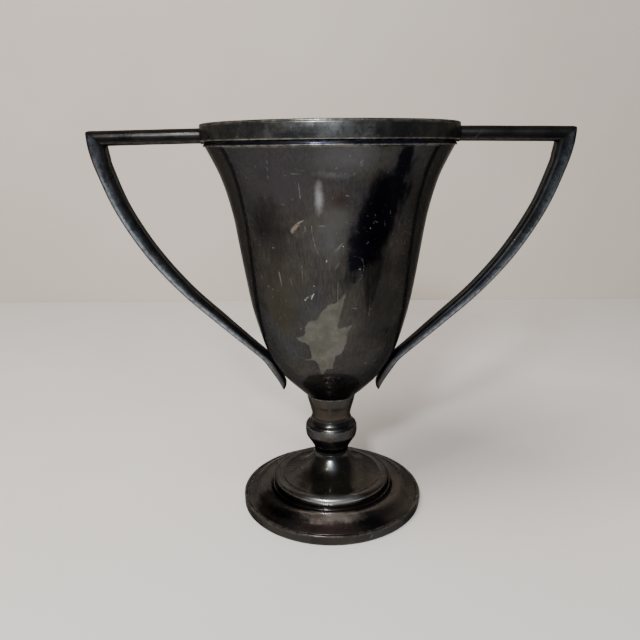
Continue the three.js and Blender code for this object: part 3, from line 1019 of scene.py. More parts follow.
# Long thin scrapes, in the same terms.
SCRAPES = (
    ((-8.2, 159.9), (-7.7, 154.6), (-6.6, 150.0), (-4.8, 146.0)),
    ((6.6, 143.8), (8.6, 145.2), (11.1, 145.5), (13.2, 145.0), (14.5, 143.8), (15.4, 140.2), (14.1, 135.1),
     (10.6, 131.4)),
    ((-19.4, 181.4), (-15.8, 182.0), (-12.5, 181.9)), ((-13.5, 178.5), (-12.9, 175.0), (-12.8, 171.5)),
    ((-26.4, 191.8), (-26.6, 179.3)), ((-8.2, 159.9), (-4.0, 159.6), (1.5, 159.0)),
    ((-12.8, 134.5), (-13.1, 141.4)), ((3.0, 121.0), (3.6, 134.0)), ((18.0, 116.0), (18.6, 128.0)),
)


def outline_distance(points: np.ndarray, outline: np.ndarray, closed: bool) -> np.ndarray:
    """Measures how far points lie from an outline in its own plane.

    Args:
        points: The points, two numbers each.
        outline: The outline's corners.
        closed: Whether the outline closes, in which case points inside it get a negative distance.

    Returns:
        The distance of each point.
    """
    ends = np.roll(outline, -1, axis=0) if closed else outline[1:]
    starts = outline if closed else outline[:-1]
    best = np.full(len(points), 1e9)
    inside = np.zeros(len(points), bool)
    for a, b in zip(starts, ends):
        along = b - a
        share = np.clip(((points - a) @ along) / max(float(along @ along), 1e-9), 0, 1)
        best = np.minimum(best, np.linalg.norm(points - a - share[:, None] * along, axis=1))
        if closed:
            crosses = (a[1] > points[:, 1]) != (b[1] > points[:, 1])
            rise = b[1] - a[1] if abs(b[1] - a[1]) > 1e-9 else 1e-9
            inside ^= crosses & (points[:, 0] < a[0] + (points[:, 1] - a[1]) * along[0] / rise)
    return np.where(inside, -best, best)


@dataclass
class Bowl:
    """The spun bowl."""

    shop: Workshop
    wall: float = 1.2 * MM
    steps: int = 288
    front_bias: float = 0.5
    waviness: float = 0.05 * MM

    def __post_init__(self) -> None:
        """Reads the bowl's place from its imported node."""
        low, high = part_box("bowl")
        self.base, self.top, self.radius = low.z, high.z, high.x
        self.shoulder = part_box("under_band_wire")[0].z - 0.1 * MM
        self.line = self.outside()

    def outside(self) -> Line:
        """Gives the outer profile from the axis up to the shoulder under the rim.

        Returns:
            The profile's points.
        """
        height = self.shoulder - self.base
        corners = [(out * self.radius, self.base + up * height) for up, out in BOWL_OUTLINE]
        return smooth(corners, 12)

    def radius_at(self, height: float) -> float:
        """Gives the bowl's outer radius at a height."""
        return float(np.interp(height, self.line[:, 1], self.line[:, 0]))

    def height_at(self, radius: float) -> float:
        """Gives the height of the bowl's outside at a radius."""
        return float(np.interp(radius, self.line[:, 0], self.line[:, 1]))

    def profile(self) -> Line:
        """Gives the whole wall's profile, up the outside and down the inside.

        Returns:
            The profile's points.
        """
        outer = even(self.line, 200)
        outer = joined(outer, np.array([[self.radius, self.top]]))
        inner = even(sideways(self.line, self.wall), 60)
        inner = inner[(inner[:, 0] > 0) & (inner[:, 1] > self.base + self.wall)]
        inner[-1] = (self.radius - self.wall, self.shoulder)
        lip = np.array([[self.radius - self.wall, self.top]])
        bottom = np.array([[0.0, self.base + self.wall]])
        return joined(outer, lip, inner[::-1], bottom)

    def mark(self, shell: bpy.types.Object) -> None:
        """Stores how far each point of the front lies from the patch, the nicks and the scrapes, in mm.

        Args:
            shell: The bowl's mesh.
        """
        points = points_of(shell)
        flat = points[:, [0, 2]] / MM
        away = np.where((points[:, 1] < 0) & self.outer(points), 0.0, FAR_OFF)
        store(shell, "patch", outline_distance(flat, np.array(LEAF), True) + away)
        for name, lines in (("nicks", NICKS), ("scrapes", SCRAPES)):
            nearest = np.full(len(points), FAR_OFF)
            for line in lines:
                nearest = np.minimum(nearest, outline_distance(flat, np.array(line), False))
            store(shell, name, nearest + away)

    def outer(self, points: np.ndarray) -> np.ndarray:
        """Tells which points lie on the outside of the wall.

        Args:
            points: The points, one row each.

        Returns:
            True for each point on the outside.
        """
        radius = np.linalg.norm(points[:, :2], axis=1)
        skin = np.interp(points[:, 2], self.line[:, 1], self.line[:, 0])
        return radius > skin - 0.5 * self.wall

    def build(self) -> None:
        """Builds and dresses the bowl."""
        shell = self.shop.turn("bowl_shell", self.profile(), "bowl_plate_worn_and_painted_light", self.steps, self.front_bias)
        ripple(shell, self.waviness, 42.0, 3.1)
        self.mark(shell)
        self.shop.dress(shell, "bowl_plate_worn_and_painted_light", "bowl")


@dataclass
class Rim:
    """The band round the mouth, the wire on its edge and the fillet under it."""

    shop: Workshop
    bowl: Bowl
    bulge: float = 0.12 * MM
    corner: float = 0.45 * MM

    def band(self) -> None:
        """Builds the flat band, very slightly rounded across its face."""
        low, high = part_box("rim_band")
        inner = self.bowl.radius + 0.1 * MM
        heights = np.linspace(low.z + self.corner, high.z - self.corner, 14)
        share = (heights - heights[0]) / (heights[-1] - heights[0])
        face = np.stack([high.x - self.bulge * (2 * share - 1) ** 2, heights], axis=1)
        edge = high.x - self.bulge - self.corner
        lower = arc((edge, low.z + self.corner), self.corner, -90, 0)
        upper = arc((edge, high.z - self.corner), self.corner, 0, 90)
        ends = np.array([[inner, high.z], [inner, low.z]])
        profile = joined(np.array([[inner, low.z]]), lower, face, upper, ends)
        band = self.shop.turn("rim_band_face", profile, "rim_plate_worn_and_painted_light", 288, 0.3)
        ripple(band, 0.035 * MM, 70.0, 8.4)
        self.shop.dress(band, "rim_plate_worn_and_painted_light", "rim_band")

    def lip(self) -> None:
        """Builds the half-round wire on the very edge."""
        low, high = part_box("rim_lip_wire")
        width = 3.2 * MM
        middle = high.x - width / 2
        angles = np.radians(np.linspace(0, 180, 19))
        across = np.sign(np.cos(angles)) * np.abs(np.cos(angles)) ** 0.6 * width / 2
        up = np.sin(angles) ** 0.7 * (high.z - low.z)
        top = np.stack([middle + across, low.z + up], axis=1)
        profile = joined(np.array([[high.x - width, low.z]]), top, np.array([[high.x - width, low.z]]))
        wire = self.shop.turn("rim_lip_round", profile, "rim_plate_worn_and_painted_light", 256, 0.3)
        ripple(wire, 0.04 * MM, 160.0, 1.2)
        self.shop.dress(wire, "rim_plate_worn_and_painted_light", "rim_lip_wire")

    def fillet(self) -> None:
        """Builds the narrow strip under the band, with a small bead along its foot."""
        low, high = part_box("under_band_wire")
        inner = self.bowl.radius + 0.1 * MM
        bead = 0.42 * MM
        strip = high.x - 0.4 * MM
        roll = arc((high.x - bead, low.z + bead), bead, -90, 70, 8)
        hollow = np.array([
            [strip, low.z + 1.1 * MM],
            [strip - 0.12 * MM, high.z - 0.35 * MM],
            [inner + 0.1 * MM, high.z],
        ])
        ends = np.array([[inner, high.z], [inner, low.z]])
        profile = joined(np.array([[inner, low.z]]), roll, smooth(hollow, 5), ends)
        wire = self.shop.turn("under_band_fillet", profile, "fillet_plate_worn", 256, 0.3)
        ripple(wire, 0.05 * MM, 220.0, 5.7)
        self.shop.dress(wire, "fillet_plate_worn", "under_band_wire")

    def build(self) -> None:
        """Builds the rim's three pieces."""
        self.band()
        self.lip()
        self.fillet()


# ---------------------------------------------------------------- handles


class Side(Enum):
    """Which side a handle is on."""

    LEFT = -1
    RIGHT = 1


# Outer and inner edge of the sweep below the mitre, as shares of the way from the bowl to the corner.
SWEEP_EDGES = (
    (0.99, 0.922, 0.878, 0.895), (0.955, 0.825, 0.863, 0.844), (0.864, 0.652, 0.783, 0.681),
    (0.709, 0.46, 0.642, 0.499), (0.519, 0.293, 0.465, 0.333), (0.315, 0.152, 0.271, 0.191),
    (0.154, 0.046, 0.11, 0.076), (0.085, 0.0, 0.04, 0.028),
)

# The tongue where it leaves the sweep: its drop, thickness and depth, in millimetres.
TONGUE_ROOT = ((3.2, 5.4, 9.2), (8.4, 5.2, 8.4))

# The tongue's tip: its drop, outer and inner edge from the contact point, and depth, in millimetres.
TONGUE_TIP = ((13.6, -2.9, -7.2, 6.8), (16.8, -4.6, -7.6, 5.2), (19.2, -5.7, -6.7, 3.0))


@dataclass
class Station:
    """One section of a handle: its outer edge, inner edge and depth."""

    outer: tuple[float, float]
    inner: tuple[float, float]
    depth: float = 9.4 * MM


@dataclass
class Handle:
    """A handle: a level bar and a curved sweep, mitred together, with a tongue lying on the bowl."""

    shop: Workshop
    bowl: Bowl
    side: Side
    thickness: float = 7.3 * MM
    fall: float = 0.8 * MM
    mitre_run: float = 10 * MM
    foot_share: float = 0.19
    around: int = 56
    ease: float = 0.55 * MM
    ease_reach: float = 2.4 * MM
    girth: float = 30 * MM

    def __post_init__(self) -> None:
        """Reads the bar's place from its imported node."""
        self.label = self.side.name.lower()
        low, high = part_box(f"{self.label}_handle_bar")
        sweep_low, sweep_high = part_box(f"{self.label}_handle_sweep")
        self.top = high.z
        self.reach = max(abs(sweep_low.x), abs(sweep_high.x))
        self.butt = min(abs(low.x), abs(high.x)) - 0.2 * MM
        self.outer_corner = (self.reach, self.top - self.fall)
        drop = self.fall * (1 - self.mitre_run / self.reach)
        self.inner_corner = (self.reach - self.mitre_run, self.top - self.thickness - drop)

    def bar_stations(self) -> list[Station]:
        """Gives the bar's two ends."""
        start = Station((self.butt, self.top), (self.butt, self.top - self.thickness))
        return [start, Station(self.outer_corner, self.inner_corner)]

    def sweep_stations(self) -> list[Station]:
        """Gives the sweep's sections, from the mitre down to the tip of the tongue.

        Returns:
            The sections.
        """
        height = self.bowl.base + self.foot_share * (self.bowl.shoulder - self.bowl.base)
        start = np.array([self.bowl.radius_at(height) + 0.3 * MM, height])
        run = np.array(self.outer_corner) - start

        def at(out: float, up: float) -> tuple[float, float]:
            """Gives a point by its shares of the way to the corner."""
            return tuple(start + run * (out, up))

        stations = [Station(self.outer_corner, self.inner_corner)]
        stations += [Station(at(a, b), at(c, d)) for a, b, c, d in SWEEP_EDGES]
        for drop, thick, depth in TONGUE_ROOT:
            z = height + (thick / 2 - drop) * MM
            wall = self.bowl.radius_at(z) + 0.25 * MM
            outer = (wall + 0.84 * thick * MM, z - 0.54 * thick * MM)
            stations.append(Station(outer, (wall, z), depth * MM))
        for drop, out, inn, depth in TONGUE_TIP:
            z = height - drop * MM
            outer = (start[0] + out * MM, z - 0.6 * MM)
            stations.append(Station(outer, (start[0] + inn * MM, z), depth * MM))
        return stations

    def lines(self, stations: Sequence[Station], steps: int) -> tuple[Line, Line, np.ndarray]:
        """Runs smooth lines through the stations' edges and depths.

        Args:
            stations: The sections.
            steps: The number of pieces between two of them.

        Returns:
            The outer edge, the inner edge and the depth at each point.
        """
        outer = smooth([s.outer for s in stations], steps)
        inner = smooth([s.inner for s in stations], steps)
        depth = smooth([(i, s.depth) for i, s in enumerate(stations)], steps)[:, 1]
        return outer, inner, depth

    def eased(self, outer: Line, bend: int) -> Line:
        """Rounds the outer line's corner a little on both sides of the mitre.

        Args:
            outer: The outer edge's points.
            bend: The number of the point at the corner.

        Returns:
            The rounded line.
        """
        eased = outer.copy()
        corner = outer[bend]
        toward = np.array([-0.62, -0.78]) * self.ease
        for i, here in enumerate(outer):
            near = float(np.linalg.norm(here - corner)) / self.ease_reach
            if near < 1:
                eased[i] = here + toward * (1 - near) ** 2
        return eased

    def section(self, count: int) -> tuple[np.ndarray, np.ndarray]:
        """Gives a section's shape, flat towards the bowl and rounder outside.

        Args:
            count: The number of points round the section.

        Returns:
            The share of the half thickness, outwards, and of the half depth, for each point.
        """
        angle = np.linspace(0, 2 * np.pi, count, endpoint=False)
        power = np.where(np.cos(angle) > 0, 0.95, 0.66)
        across = np.sign(np.cos(angle)) * np.abs(np.cos(angle)) ** power
        deep = np.sign(np.sin(angle)) * np.abs(np.sin(angle)) ** np.where(np.cos(angle) > 0, 0.9, 0.62)
        return across, deep

    def loft(self, name: str, outer: Line, inner: Line, depth: np.ndarray) -> bpy.types.Object:
        """Makes a closed, capped body through the sections.

        Args:
            name: The piece's name.
            outer: The outer edge's points.
            inner: The inner edge's points.
            depth: The depth at each of them.

        Returns:
            The piece, with a surface map that runs along and around it.
        """
        across, deep = self.section(self.around)
        middle, half = (outer + inner) / 2, (outer - inner) / 2
        sign = self.side.value
        rows = []
        for m, h, d in zip(middle, half, depth):
            x = m[0] + h[0] * across
            z = m[1] + h[1] * across
            rows.append(np.stack([sign * x, sign * -deep * d / 2, z], axis=1))
        points = np.vstack(rows)
        n, total = self.around, len(rows)
        faces = [
            (i * n + k, i * n + (k + 1) % n, (i + 1) * n + (k + 1) % n, (i + 1) * n + k)
            for i in range(total - 1)
            for k in range(n)
        ]
        faces.append(tuple(reversed(range(n))))
        faces.append(tuple(range((total - 1) * n, total * n)))
        piece = mesh_object(name, points, faces)
        self.map_surface(piece, middle)
        corner = np.clip((np.abs(across) * np.abs(deep) - 0.52) * 3.2, 0, 1) * (across < 0)
        store(piece, "wear", np.tile(corner, total))
        self.stripe(piece, middle[:, 1])
        return piece

    def stripe(self, piece: bpy.types.Object, heights: np.ndarray) -> None:
        """Stores where a painted highlight stripe lies near the outer edge and where painted shade lies
        beside it.

        Args:
            piece: The lofted body.
            heights: The height of each of its sections: the painted highlight fades out towards the tongue.
        """
        angle = np.linspace(-180, 180, self.around, endpoint=False)
        turn = np.abs((angle + 360) % 360 - 180)
        fade = np.interp(heights, (74 * MM, 98 * MM), (0.15, 1.0))
        # sheen holds the painted highlight stripe, shade the dark band of painted shade beside it.
        for name, centre, share in (("sheen", 70.0, fade), ("shade", 112.0, np.ones(len(fade)))):
            across = np.exp(-(((turn - centre) / 20.0) ** 2))
            store(piece, name, np.outer(share, across).ravel())

    def map_surface(self, piece: bpy.types.Object, middle: Line) -> None:
        """Stores how far along and around the body each corner of its faces lies, in metres.

        Args:
            piece: The lofted body.
            middle: The middle of each of its sections.
        """
        steps = np.linalg.norm(np.diff(middle, axis=0), axis=1)
        along = np.concatenate([[0], np.cumsum(steps)])
        layer = piece.data.uv_layers.new(name="surface")
        n = self.around
        values = np.zeros((len(piece.data.loops), 2))
        for polygon in piece.data.polygons:
            ring = [piece.data.loops[i].vertex_index % n for i in polygon.loop_indices]
            wraps = max(ring) - min(ring) > n / 2
            for i, k in zip(polygon.loop_indices, ring):
                turn = (k + n if wraps and k < n / 2 else k) / n
                values[i] = (along[piece.data.loops[i].vertex_index // n], turn * self.girth)
        layer.uv.foreach_set("vector", values.ravel())

    def build(self) -> None:
        """Builds the bar and the sweep, and the solder at the bar's end against the rim band."""
        bar = self.lines(self.bar_stations(), 60)
        sweep = self.lines(self.sweep_stations(), 14)
        outer = np.vstack([bar[0], sweep[0][1:]])
        eased = self.eased(outer, len(bar[0]) - 1)
        cut = len(bar[0])
        parts = (
            ("bar", eased[:cut], bar[1], bar[2]),
            ("sweep", eased[cut - 1 :], sweep[1], sweep[2]),
        )
        for part, out, inn, depth in parts:
            piece = self.loft(f"{self.label}_{part}", out, inn, depth)
            piece.data.set_sharp_from_angle(angle=math.radians(50))
            ripple(piece, 0.06 * MM, 90.0, 2.0 + self.side.value)
            # The sweep and bar finishes also paint a highlight stripe and a band of shade beside it along the
            # outer edge.
            self.shop.dress(piece, f"{part}_plate_worn", f"{self.label}_handle_{part}")
        self.butt_solder()

    def butt_solder(self) -> None:
        """Lays solder round the bar's end, against the rim band."""
        across, deep = self.section(40)
        z = self.top - self.thickness / 2 + across * (self.thickness / 2 + 0.1 * MM)
        y = deep * 4.8 * MM
        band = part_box("rim_band")[1].x
        x = np.sqrt(np.maximum((band + 0.05 * MM) ** 2 - y**2, 0))
        path = np.stack([self.side.value * x, y, z], axis=1)
        seam = self.shop.solder(f"{self.label}_bar_solder", path, 0.34 * MM, 150, 11 + self.side.value)
        self.shop.dress(seam, "solder")


# ---------------------------------------------------------------- stem and foot


@dataclass
class Stem:
    """The collar, the knop's two halves and the neck."""

    shop: Workshop
    bowl: Bowl
    wall: float = 1.2 * MM
    waist: float = 10.6 * MM
    steps: int = 160

    def piece(self, name: str, outside: Line, finish: str, node: str) -> None:
        """Turns a hollow piece from its outside and dresses it.

        Args:
            name: The piece's name.
            outside: Its outer profile, running up.
            finish: The finish's name.
            node: The node that it stands for.
        """
        inside = outside[::-4].copy()
        inside[:, 0] -= self.wall
        profile = joined(outside, inside, outside[:1])
        made = self.shop.turn(name, profile, finish, self.steps, 0.3)
        ripple(made, 0.05 * MM, 150.0, float(len(name)))
        self.shop.dress(made, finish, node)

    def collar(self) -> None:
        """Builds the flared collar under the bowl, with its solder line."""
        low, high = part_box("stem_collar")
        waist, lip = self.waist, high.x
        rise = high.z - low.z
        outside = smooth(
            [
                (waist + 0.35 * MM, low.z),
                (waist, low.z + rise * 0.16),
                (waist + 0.95 * MM, low.z + rise * 0.47),
                (waist + 1.75 * MM, low.z + rise * 0.66),
                (lip - 0.1 * MM, high.z - 0.5 * MM),
            ],
            14,
        )
        outside = joined(outside, arc((lip - 0.5 * MM, high.z - 0.45 * MM), 0.4 * MM, 0, 90, 5))
        self.piece("collar_flare", outside, "collar_plate_worn", "stem_collar")
        radius = lip - 0.35 * MM
        path = level_ring(radius, self.bowl.height_at(radius) - 0.12 * MM)
        seam = self.shop.solder("collar_solder", path, 0.42 * MM, 360, 5)
        self.shop.dress(seam, "solder")

    def knop(self) -> None:
        """Builds the knop's two halves, with the raised bead of their seam."""
        low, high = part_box("knop_upper_half")
        radius, rise = high.x + 0.15 * MM, high.z - low.z
        upper = smooth(
            [
                (radius - 0.3 * MM, low.z + 0.05 * MM),
                (radius * 0.94, low.z + rise * 0.25),
                (radius * 0.84, low.z + rise * 0.5),
                (self.waist + 0.75 * MM, low.z + rise * 0.75),
                (self.waist + 0.35 * MM, high.z),
            ],
            14,
        )
        self.piece("knop_upper", upper, "knop_plate_worn_and_painted_light", "knop_upper_half")
        low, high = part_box("knop_lower_half")
        rise = high.z - low.z
        lower = smooth(
            [
                (10.5 * MM, low.z),
                (radius * 0.81, low.z + rise * 0.17),
                (radius * 0.9, low.z + rise * 0.33),
                (radius * 0.975, low.z + rise * 0.5),
                (radius, low.z + rise * 0.72),
                (radius - 0.1 * MM, high.z - 0.4 * MM),
                (radius - 0.3 * MM, high.z),
            ],
            14,
        )
        self.piece("knop_lower", lower, "knop_plate_worn_and_painted_light", "knop_lower_half")
        seam = self.shop.solder("knop_solder", level_ring(radius - 0.42 * MM, high.z), 0.3 * MM, 300, 9)
        self.shop.dress(seam, "solder")

    def neck(self) -> None:
        """Builds the short neck between the knop and the foot."""
        low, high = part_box("stem_neck")
        rise = high.z - low.z
        corners = ((9.3, 0.0), (9.3, 0.3), (9.7, 0.7), (10.3, 1.0))
        outside = smooth([(radius * MM, low.z + rise * up) for radius, up in corners], 10)
        self.piece("neck_tube", outside, "neck_plate_worn", "stem_neck")

    def build(self) -> None:
        """Builds the stem from the bowl down."""
        self.collar()
        self.knop()
        self.neck()


@dataclass
class Foot:
    """The spun foot and the band round its edge."""

    shop: Workshop
    wall: float = 1.0 * MM

    def shell(self) -> None:
        """Builds the spun shell: slope, crest, groove, bead and cone."""
        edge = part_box("foot_shell")[1].x / MM
        slope = in_mm(
            (edge, 5.05), (46.4, 5.95), (44.1, 7.2), (40.9, 9.4), (38.5, 10.3), (35.6, 10.15), (33.3, 9.35)
        )
        groove = in_mm((33.0, 9.2), (32.6, 9.2))
        bead = in_mm(
            (32.35, 9.5), (32.1, 10.6), (32.25, 12.3), (32.15, 13.7), (31.5, 14.8), (30.1, 15.5),
            (28.3, 15.55)
        )
        step = in_mm((28.0, 15.5), (27.4, 15.2), (26.9, 15.14))
        cone = smooth(in_mm((26.8, 15.15), (20.05, 17.9), (14.2, 21.5), (10.6, 25.7), (9.5, 28.5)), 22)
        crest = joined(in_mm((edge, 1.1)), smooth(slope, 10), groove, smooth(bead, 9), smooth(step, 4))
        cone_inside = sideways(cone, self.wall)[::-3]
        under = in_mm(
            (30.0, 13.9), (30.5, 8.5), (38.5, 9.1), (43.7, 6.1), (edge - 1, 3.4), (edge - 1, 1.1), (edge, 1.1)
        )
        profile = joined(crest, cone, cone_inside, under)
        made = self.shop.turn("foot_spinning", profile, "foot_plate_worn_and_painted_light", 256, 0.4)
        ripple(made, 0.09 * MM, 60.0, 6.6)
        self.shop.dress(made, "foot_plate_worn_and_painted_light", "foot_shell")

    def band(self) -> None:
        """Builds the upright band with its turned-in flange."""
        low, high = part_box("foot_rim_band")
        outer, top = high.x, high.z
        lower = arc((outer - 0.35 * MM, low.z + 0.35 * MM), 0.35 * MM, -90, 0)
        upper = arc((outer - 0.6 * MM, top - 0.6 * MM), 0.6 * MM, 0, 90)
        face = np.stack([np.full(8, outer), np.linspace(low.z + 0.4 * MM, top - 0.65 * MM, 8)], axis=1)
        start = np.array([[outer - 4.6 * MM, low.z]])
        inner = np.array([
            [outer - 1.4 * MM, top],
            [outer - 1.5 * MM, top - 0.2 * MM],
            [outer - 1.5 * MM, low.z + 1.0 * MM],
            [outer - 4.6 * MM, low.z + 1.0 * MM],
            [outer - 4.6 * MM, low.z],
        ])
        profile = joined(start, lower, face, upper, inner)
        made = self.shop.turn("foot_band_ring", profile, "foot_band_worn", 256, 0.4)
        ripple(made, 0.05 * MM, 80.0, 4.4)
        points = points_of(made)
        points[:, 2] = np.maximum(points[:, 2], low.z)
        move_points(made, points)
        self.shop.dress(made, "foot_band_worn", "foot_rim_band")

    def build(self) -> None:
        """Builds the foot's two pieces."""
        self.shell()
        self.band()


# ---------------------------------------------------------------- fixing under the foot


@dataclass
class Fixing:
    """The boss, the stud, the bridge plate, the washers and the nut inside the stem and foot."""

    shop: Workshop
    hole: float = 3.15 * MM

    def round_piece(self, name: str, node: str, edge: float) -> None:
        """Turns a ring of a node's size with rounded outer edges.

        Args:
            name: The piece's name.
            node: The node that it stands for.
            edge: The radius of the rounded edges.
        """
        low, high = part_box(node)
        start = np.array([[self.hole, low.z]])
        lower = arc((high.x - edge, low.z + edge), edge, -90, 0, 5)
        upper = arc((high.x - edge, high.z - edge), edge, 0, 90, 5)
        end = np.array([[self.hole, high.z], [self.hole, low.z]])
        made = self.shop.turn(name, joined(start, lower, upper, end), "dull_steel", 96)
        self.shop.dress(made, "dull_steel", node)

    def nut(self) -> None:
        """Builds the nut, its corners cut back by a chamfer."""
        low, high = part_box("hex_nut")
        corner = high.x
        flat = corner * math.sqrt(3) / 2
        count = 96
        rows = []
        levels = ((0.0, 0.93), (0.09, 1.0), (0.91, 1.0), (1.0, 0.93))
        for share, size in levels:
            row = []
            z = low.z + share * (high.z - low.z)
            for k in range(count):
                angle = 2 * math.pi * k / count
                fold = math.radians(30) - abs((angle % math.radians(60)) - math.radians(30))
                radius = min(flat / math.cos(math.radians(30) - fold), corner * size)
                row.append((radius * math.cos(angle), radius * math.sin(angle), z))
            rows.append(row)
        for share in (1.0, 0.0):
            z = low.z + share * (high.z - low.z)
            turns = [2 * math.pi * k / count for k in range(count)]
            rows.append([(self.hole * math.cos(turn), self.hole * math.sin(turn), z) for turn in turns])
        points = np.array([p for row in rows for p in row])
        faces = [
            (i * count + k, i * count + (k + 1) % count, j * count + (k + 1) % count, j * count + k)
            for i, j in zip(range(6), (1, 2, 3, 4, 5, 0))
            for k in range(count)
        ]
        made = mesh_object("fixing_nut", points, faces)
        made.data.set_sharp_from_angle(angle=math.radians(25))
        store(made, "wear", np.zeros(len(points)))
        self.shop.dress(made, "dull_steel", "hex_nut")

    def spring(self) -> None:
        """Builds the split spring washer, its two ends sprung a little apart."""
        low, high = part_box("spring_washer")
        inner, outer, slit = self.hole, high.x, 0.11
        angles = np.linspace(slit, 2 * math.pi - slit, 90)
        points, faces = [], []
        for angle in angles:
            for radius, z in ((inner, low.z), (outer, low.z), (outer, high.z), (inner, high.z)):
                points.append((radius * math.cos(angle), radius * math.sin(angle), z))
        for i in range(len(angles) - 1):
            here, there = 4 * i, 4 * i + 4
            faces += [(here + k, here + (k + 1) % 4, there + (k + 1) % 4, there + k) for k in range(4)]
        last = 4 * (len(angles) - 1)
        faces += [(3, 2, 1, 0), (last, last + 1, last + 2, last + 3)]
        made = mesh_object("fixing_spring_washer", np.array(points), faces)
        made.data.set_sharp_from_angle(angle=math.radians(30))
        self.shop.dress(made, "dull_steel", "spring_washer")

    def stud(self) -> None:
        """Builds the stud with a thread on its lower end."""
        low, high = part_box("tie_rod")
        chamfer = 0.5 * MM
        radius = high.x
        root = radius - 0.3 * MM
        pitch = 1.0 * MM
        ridges = []
        z = low.z + chamfer
        while z < low.z + 12 * MM:
            ridges += [(root, z), (radius, z + 0.4 * pitch), (radius, z + 0.55 * pitch)]
            z += pitch
        profile = joined(
            np.array([[0.0, low.z], [radius - chamfer, low.z]]),
            np.array(ridges),
            np.array([[root, z], [radius, z + 0.4 * MM], [radius, high.z], [0.0, high.z]]),
        )
        made = self.shop.turn("fixing_stud", profile, "dull_steel", 72)
        self.shop.dress(made, "dull_steel", "tie_rod")

    def boss(self) -> None:
        """Builds the brass boss with its blind hole."""
        low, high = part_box("bowl_boss")
        depth = low.z + 6.5 * MM
        profile = np.array([
            [0.0, depth], [self.hole, depth], [self.hole, low.z + 0.3 * MM], [self.hole + 0.3 * MM, low.z],
            [high.x - 0.4 * MM, low.z], [high.x, low.z + 0.4 * MM], [high.x, high.z - 0.4 * MM],
            [high.x - 0.4 * MM, high.z], [0.0, high.z],
        ])
        made = self.shop.turn("fixing_boss", profile, "dull_brass", 96)
        self.shop.dress(made, "dull_brass", "bowl_boss")

    def build(self) -> None:
        """Builds the fixing's six pieces."""
        self.round_piece("fixing_plate", "foot_bridge_plate", 0.35 * MM)
        self.round_piece("fixing_washer", "flat_washer", 0.2 * MM)
        self.boss()
        self.spring()
        self.nut()
        self.stud()


# ---------------------------------------------------------------- stage, light and camera


@dataclass
class Stage:
    """A pale cloth floor, a warm plain wall and soft lights."""

    wall_y: float = 0.48
    size: float = 1.6
    front: float = -0.5
    cut_y: float = -0.135
    level: float = -0.1 * MM

    def floor(self) -> None:
        """Lays the floor."""
        shader = Shader("stage_cloth")
        place = shader.place()
        weave = shader.noise(place, 900.0, 2.0)
        clouds = shader.noise(place, 9.0, 3.0)
        tone = shader.mix(clouds, (0.68, 0.640, 0.612), (0.76, 0.722, 0.698))
        bump = shader.bump(weave, 0.15, 0.5 * MM)
        material = shader.finish({"Base Color": tone, "Roughness": 0.9, "Normal": bump})
        flat = (
            (-self.size, self.front), (0.265, self.front), (0.166, self.cut_y), (self.size, self.cut_y),
            (self.size, self.wall_y), (-self.size, self.wall_y),
        )
        self.plane("stage_floor", [(x, y, self.level) for x, y in flat], material)

    def backdrop(self) -> None:
        """Raises the wall behind."""
        shader = Shader("stage_wall")
        clouds = shader.noise(shader.place(), 5.0, 3.0)
        tone = shader.mix(clouds, (0.64, 0.575, 0.50), (0.76, 0.70, 0.63))
        material = shader.finish({"Base Color": tone, "Roughness": 0.95})
        flat = ((-self.size, 0), (self.size, 0), (self.size, self.size), (-self.size, self.size))
        self.plane("stage_wall", [(x, self.wall_y, z) for x, z in flat], material)

    def plane(self, name: str, corners: Sequence[Sequence[float]], material: bpy.types.Material) -> None:
        """Adds one flat sheet of the stage.

        Args:
            name: The sheet's name.
            corners: Its corners, in order.
            material: Its material.
        """
        sheet = mesh_object(name, np.array(corners), [tuple(range(len(corners)))])
        sheet.data.materials.append(material)

    def lamp(self, name: str, place: Rgb, aim: Rgb, size: float, power: float, color: Rgb,
             seen: bool = True) -> None:
        """Adds one soft square light that looks at a point.

        Args:
            name: The light's name.
            place: Where it stands.
            aim: The point it looks at.
            size: The length of its side.
            power: Its power in watts.
            color: Its colour.
            seen: Whether polished surfaces mirror it.
        """
        data = bpy.data.lights.new(name, "AREA")
        data.size, data.energy, data.color = size, power, color
        lamp = bpy.data.objects.new(name, data)
        lamp.location = place
        lamp.visible_glossy = seen
        lamp.rotation_euler = (Vector(aim) - Vector(place)).to_track_quat("-Z", "Y").to_euler()
        bpy.context.scene.collection.objects.link(lamp)

    def build(self) -> None:
        """Builds the floor, the wall, the lights and the dim room."""
        self.floor()
        self.backdrop()
        self.lamp("key", (-0.13, -0.66, 0.54), (0, 0, 0.10), 0.09, 6.0, (0.93, 0.97, 1.0))
        self.lamp("warm", (-0.24, -0.44, 0.75), (0, 0, 0.05), 0.05, 0.7, (1.0, 0.82, 0.62))
        self.lamp("fill", (-0.45, -0.35, 1.25), (0, 0.2, 0.0), 0.7, 17.0, (1.0, 0.97, 0.93), seen=False)
        world = bpy.data.worlds.new("room")
        bpy.context.scene.world = world
        world.use_nodes = True
        background = world.node_tree.nodes["Background"].inputs
        background["Color"].default_value = (0.62, 0.62, 0.64, 1)
        background["Strength"].default_value = 0.14


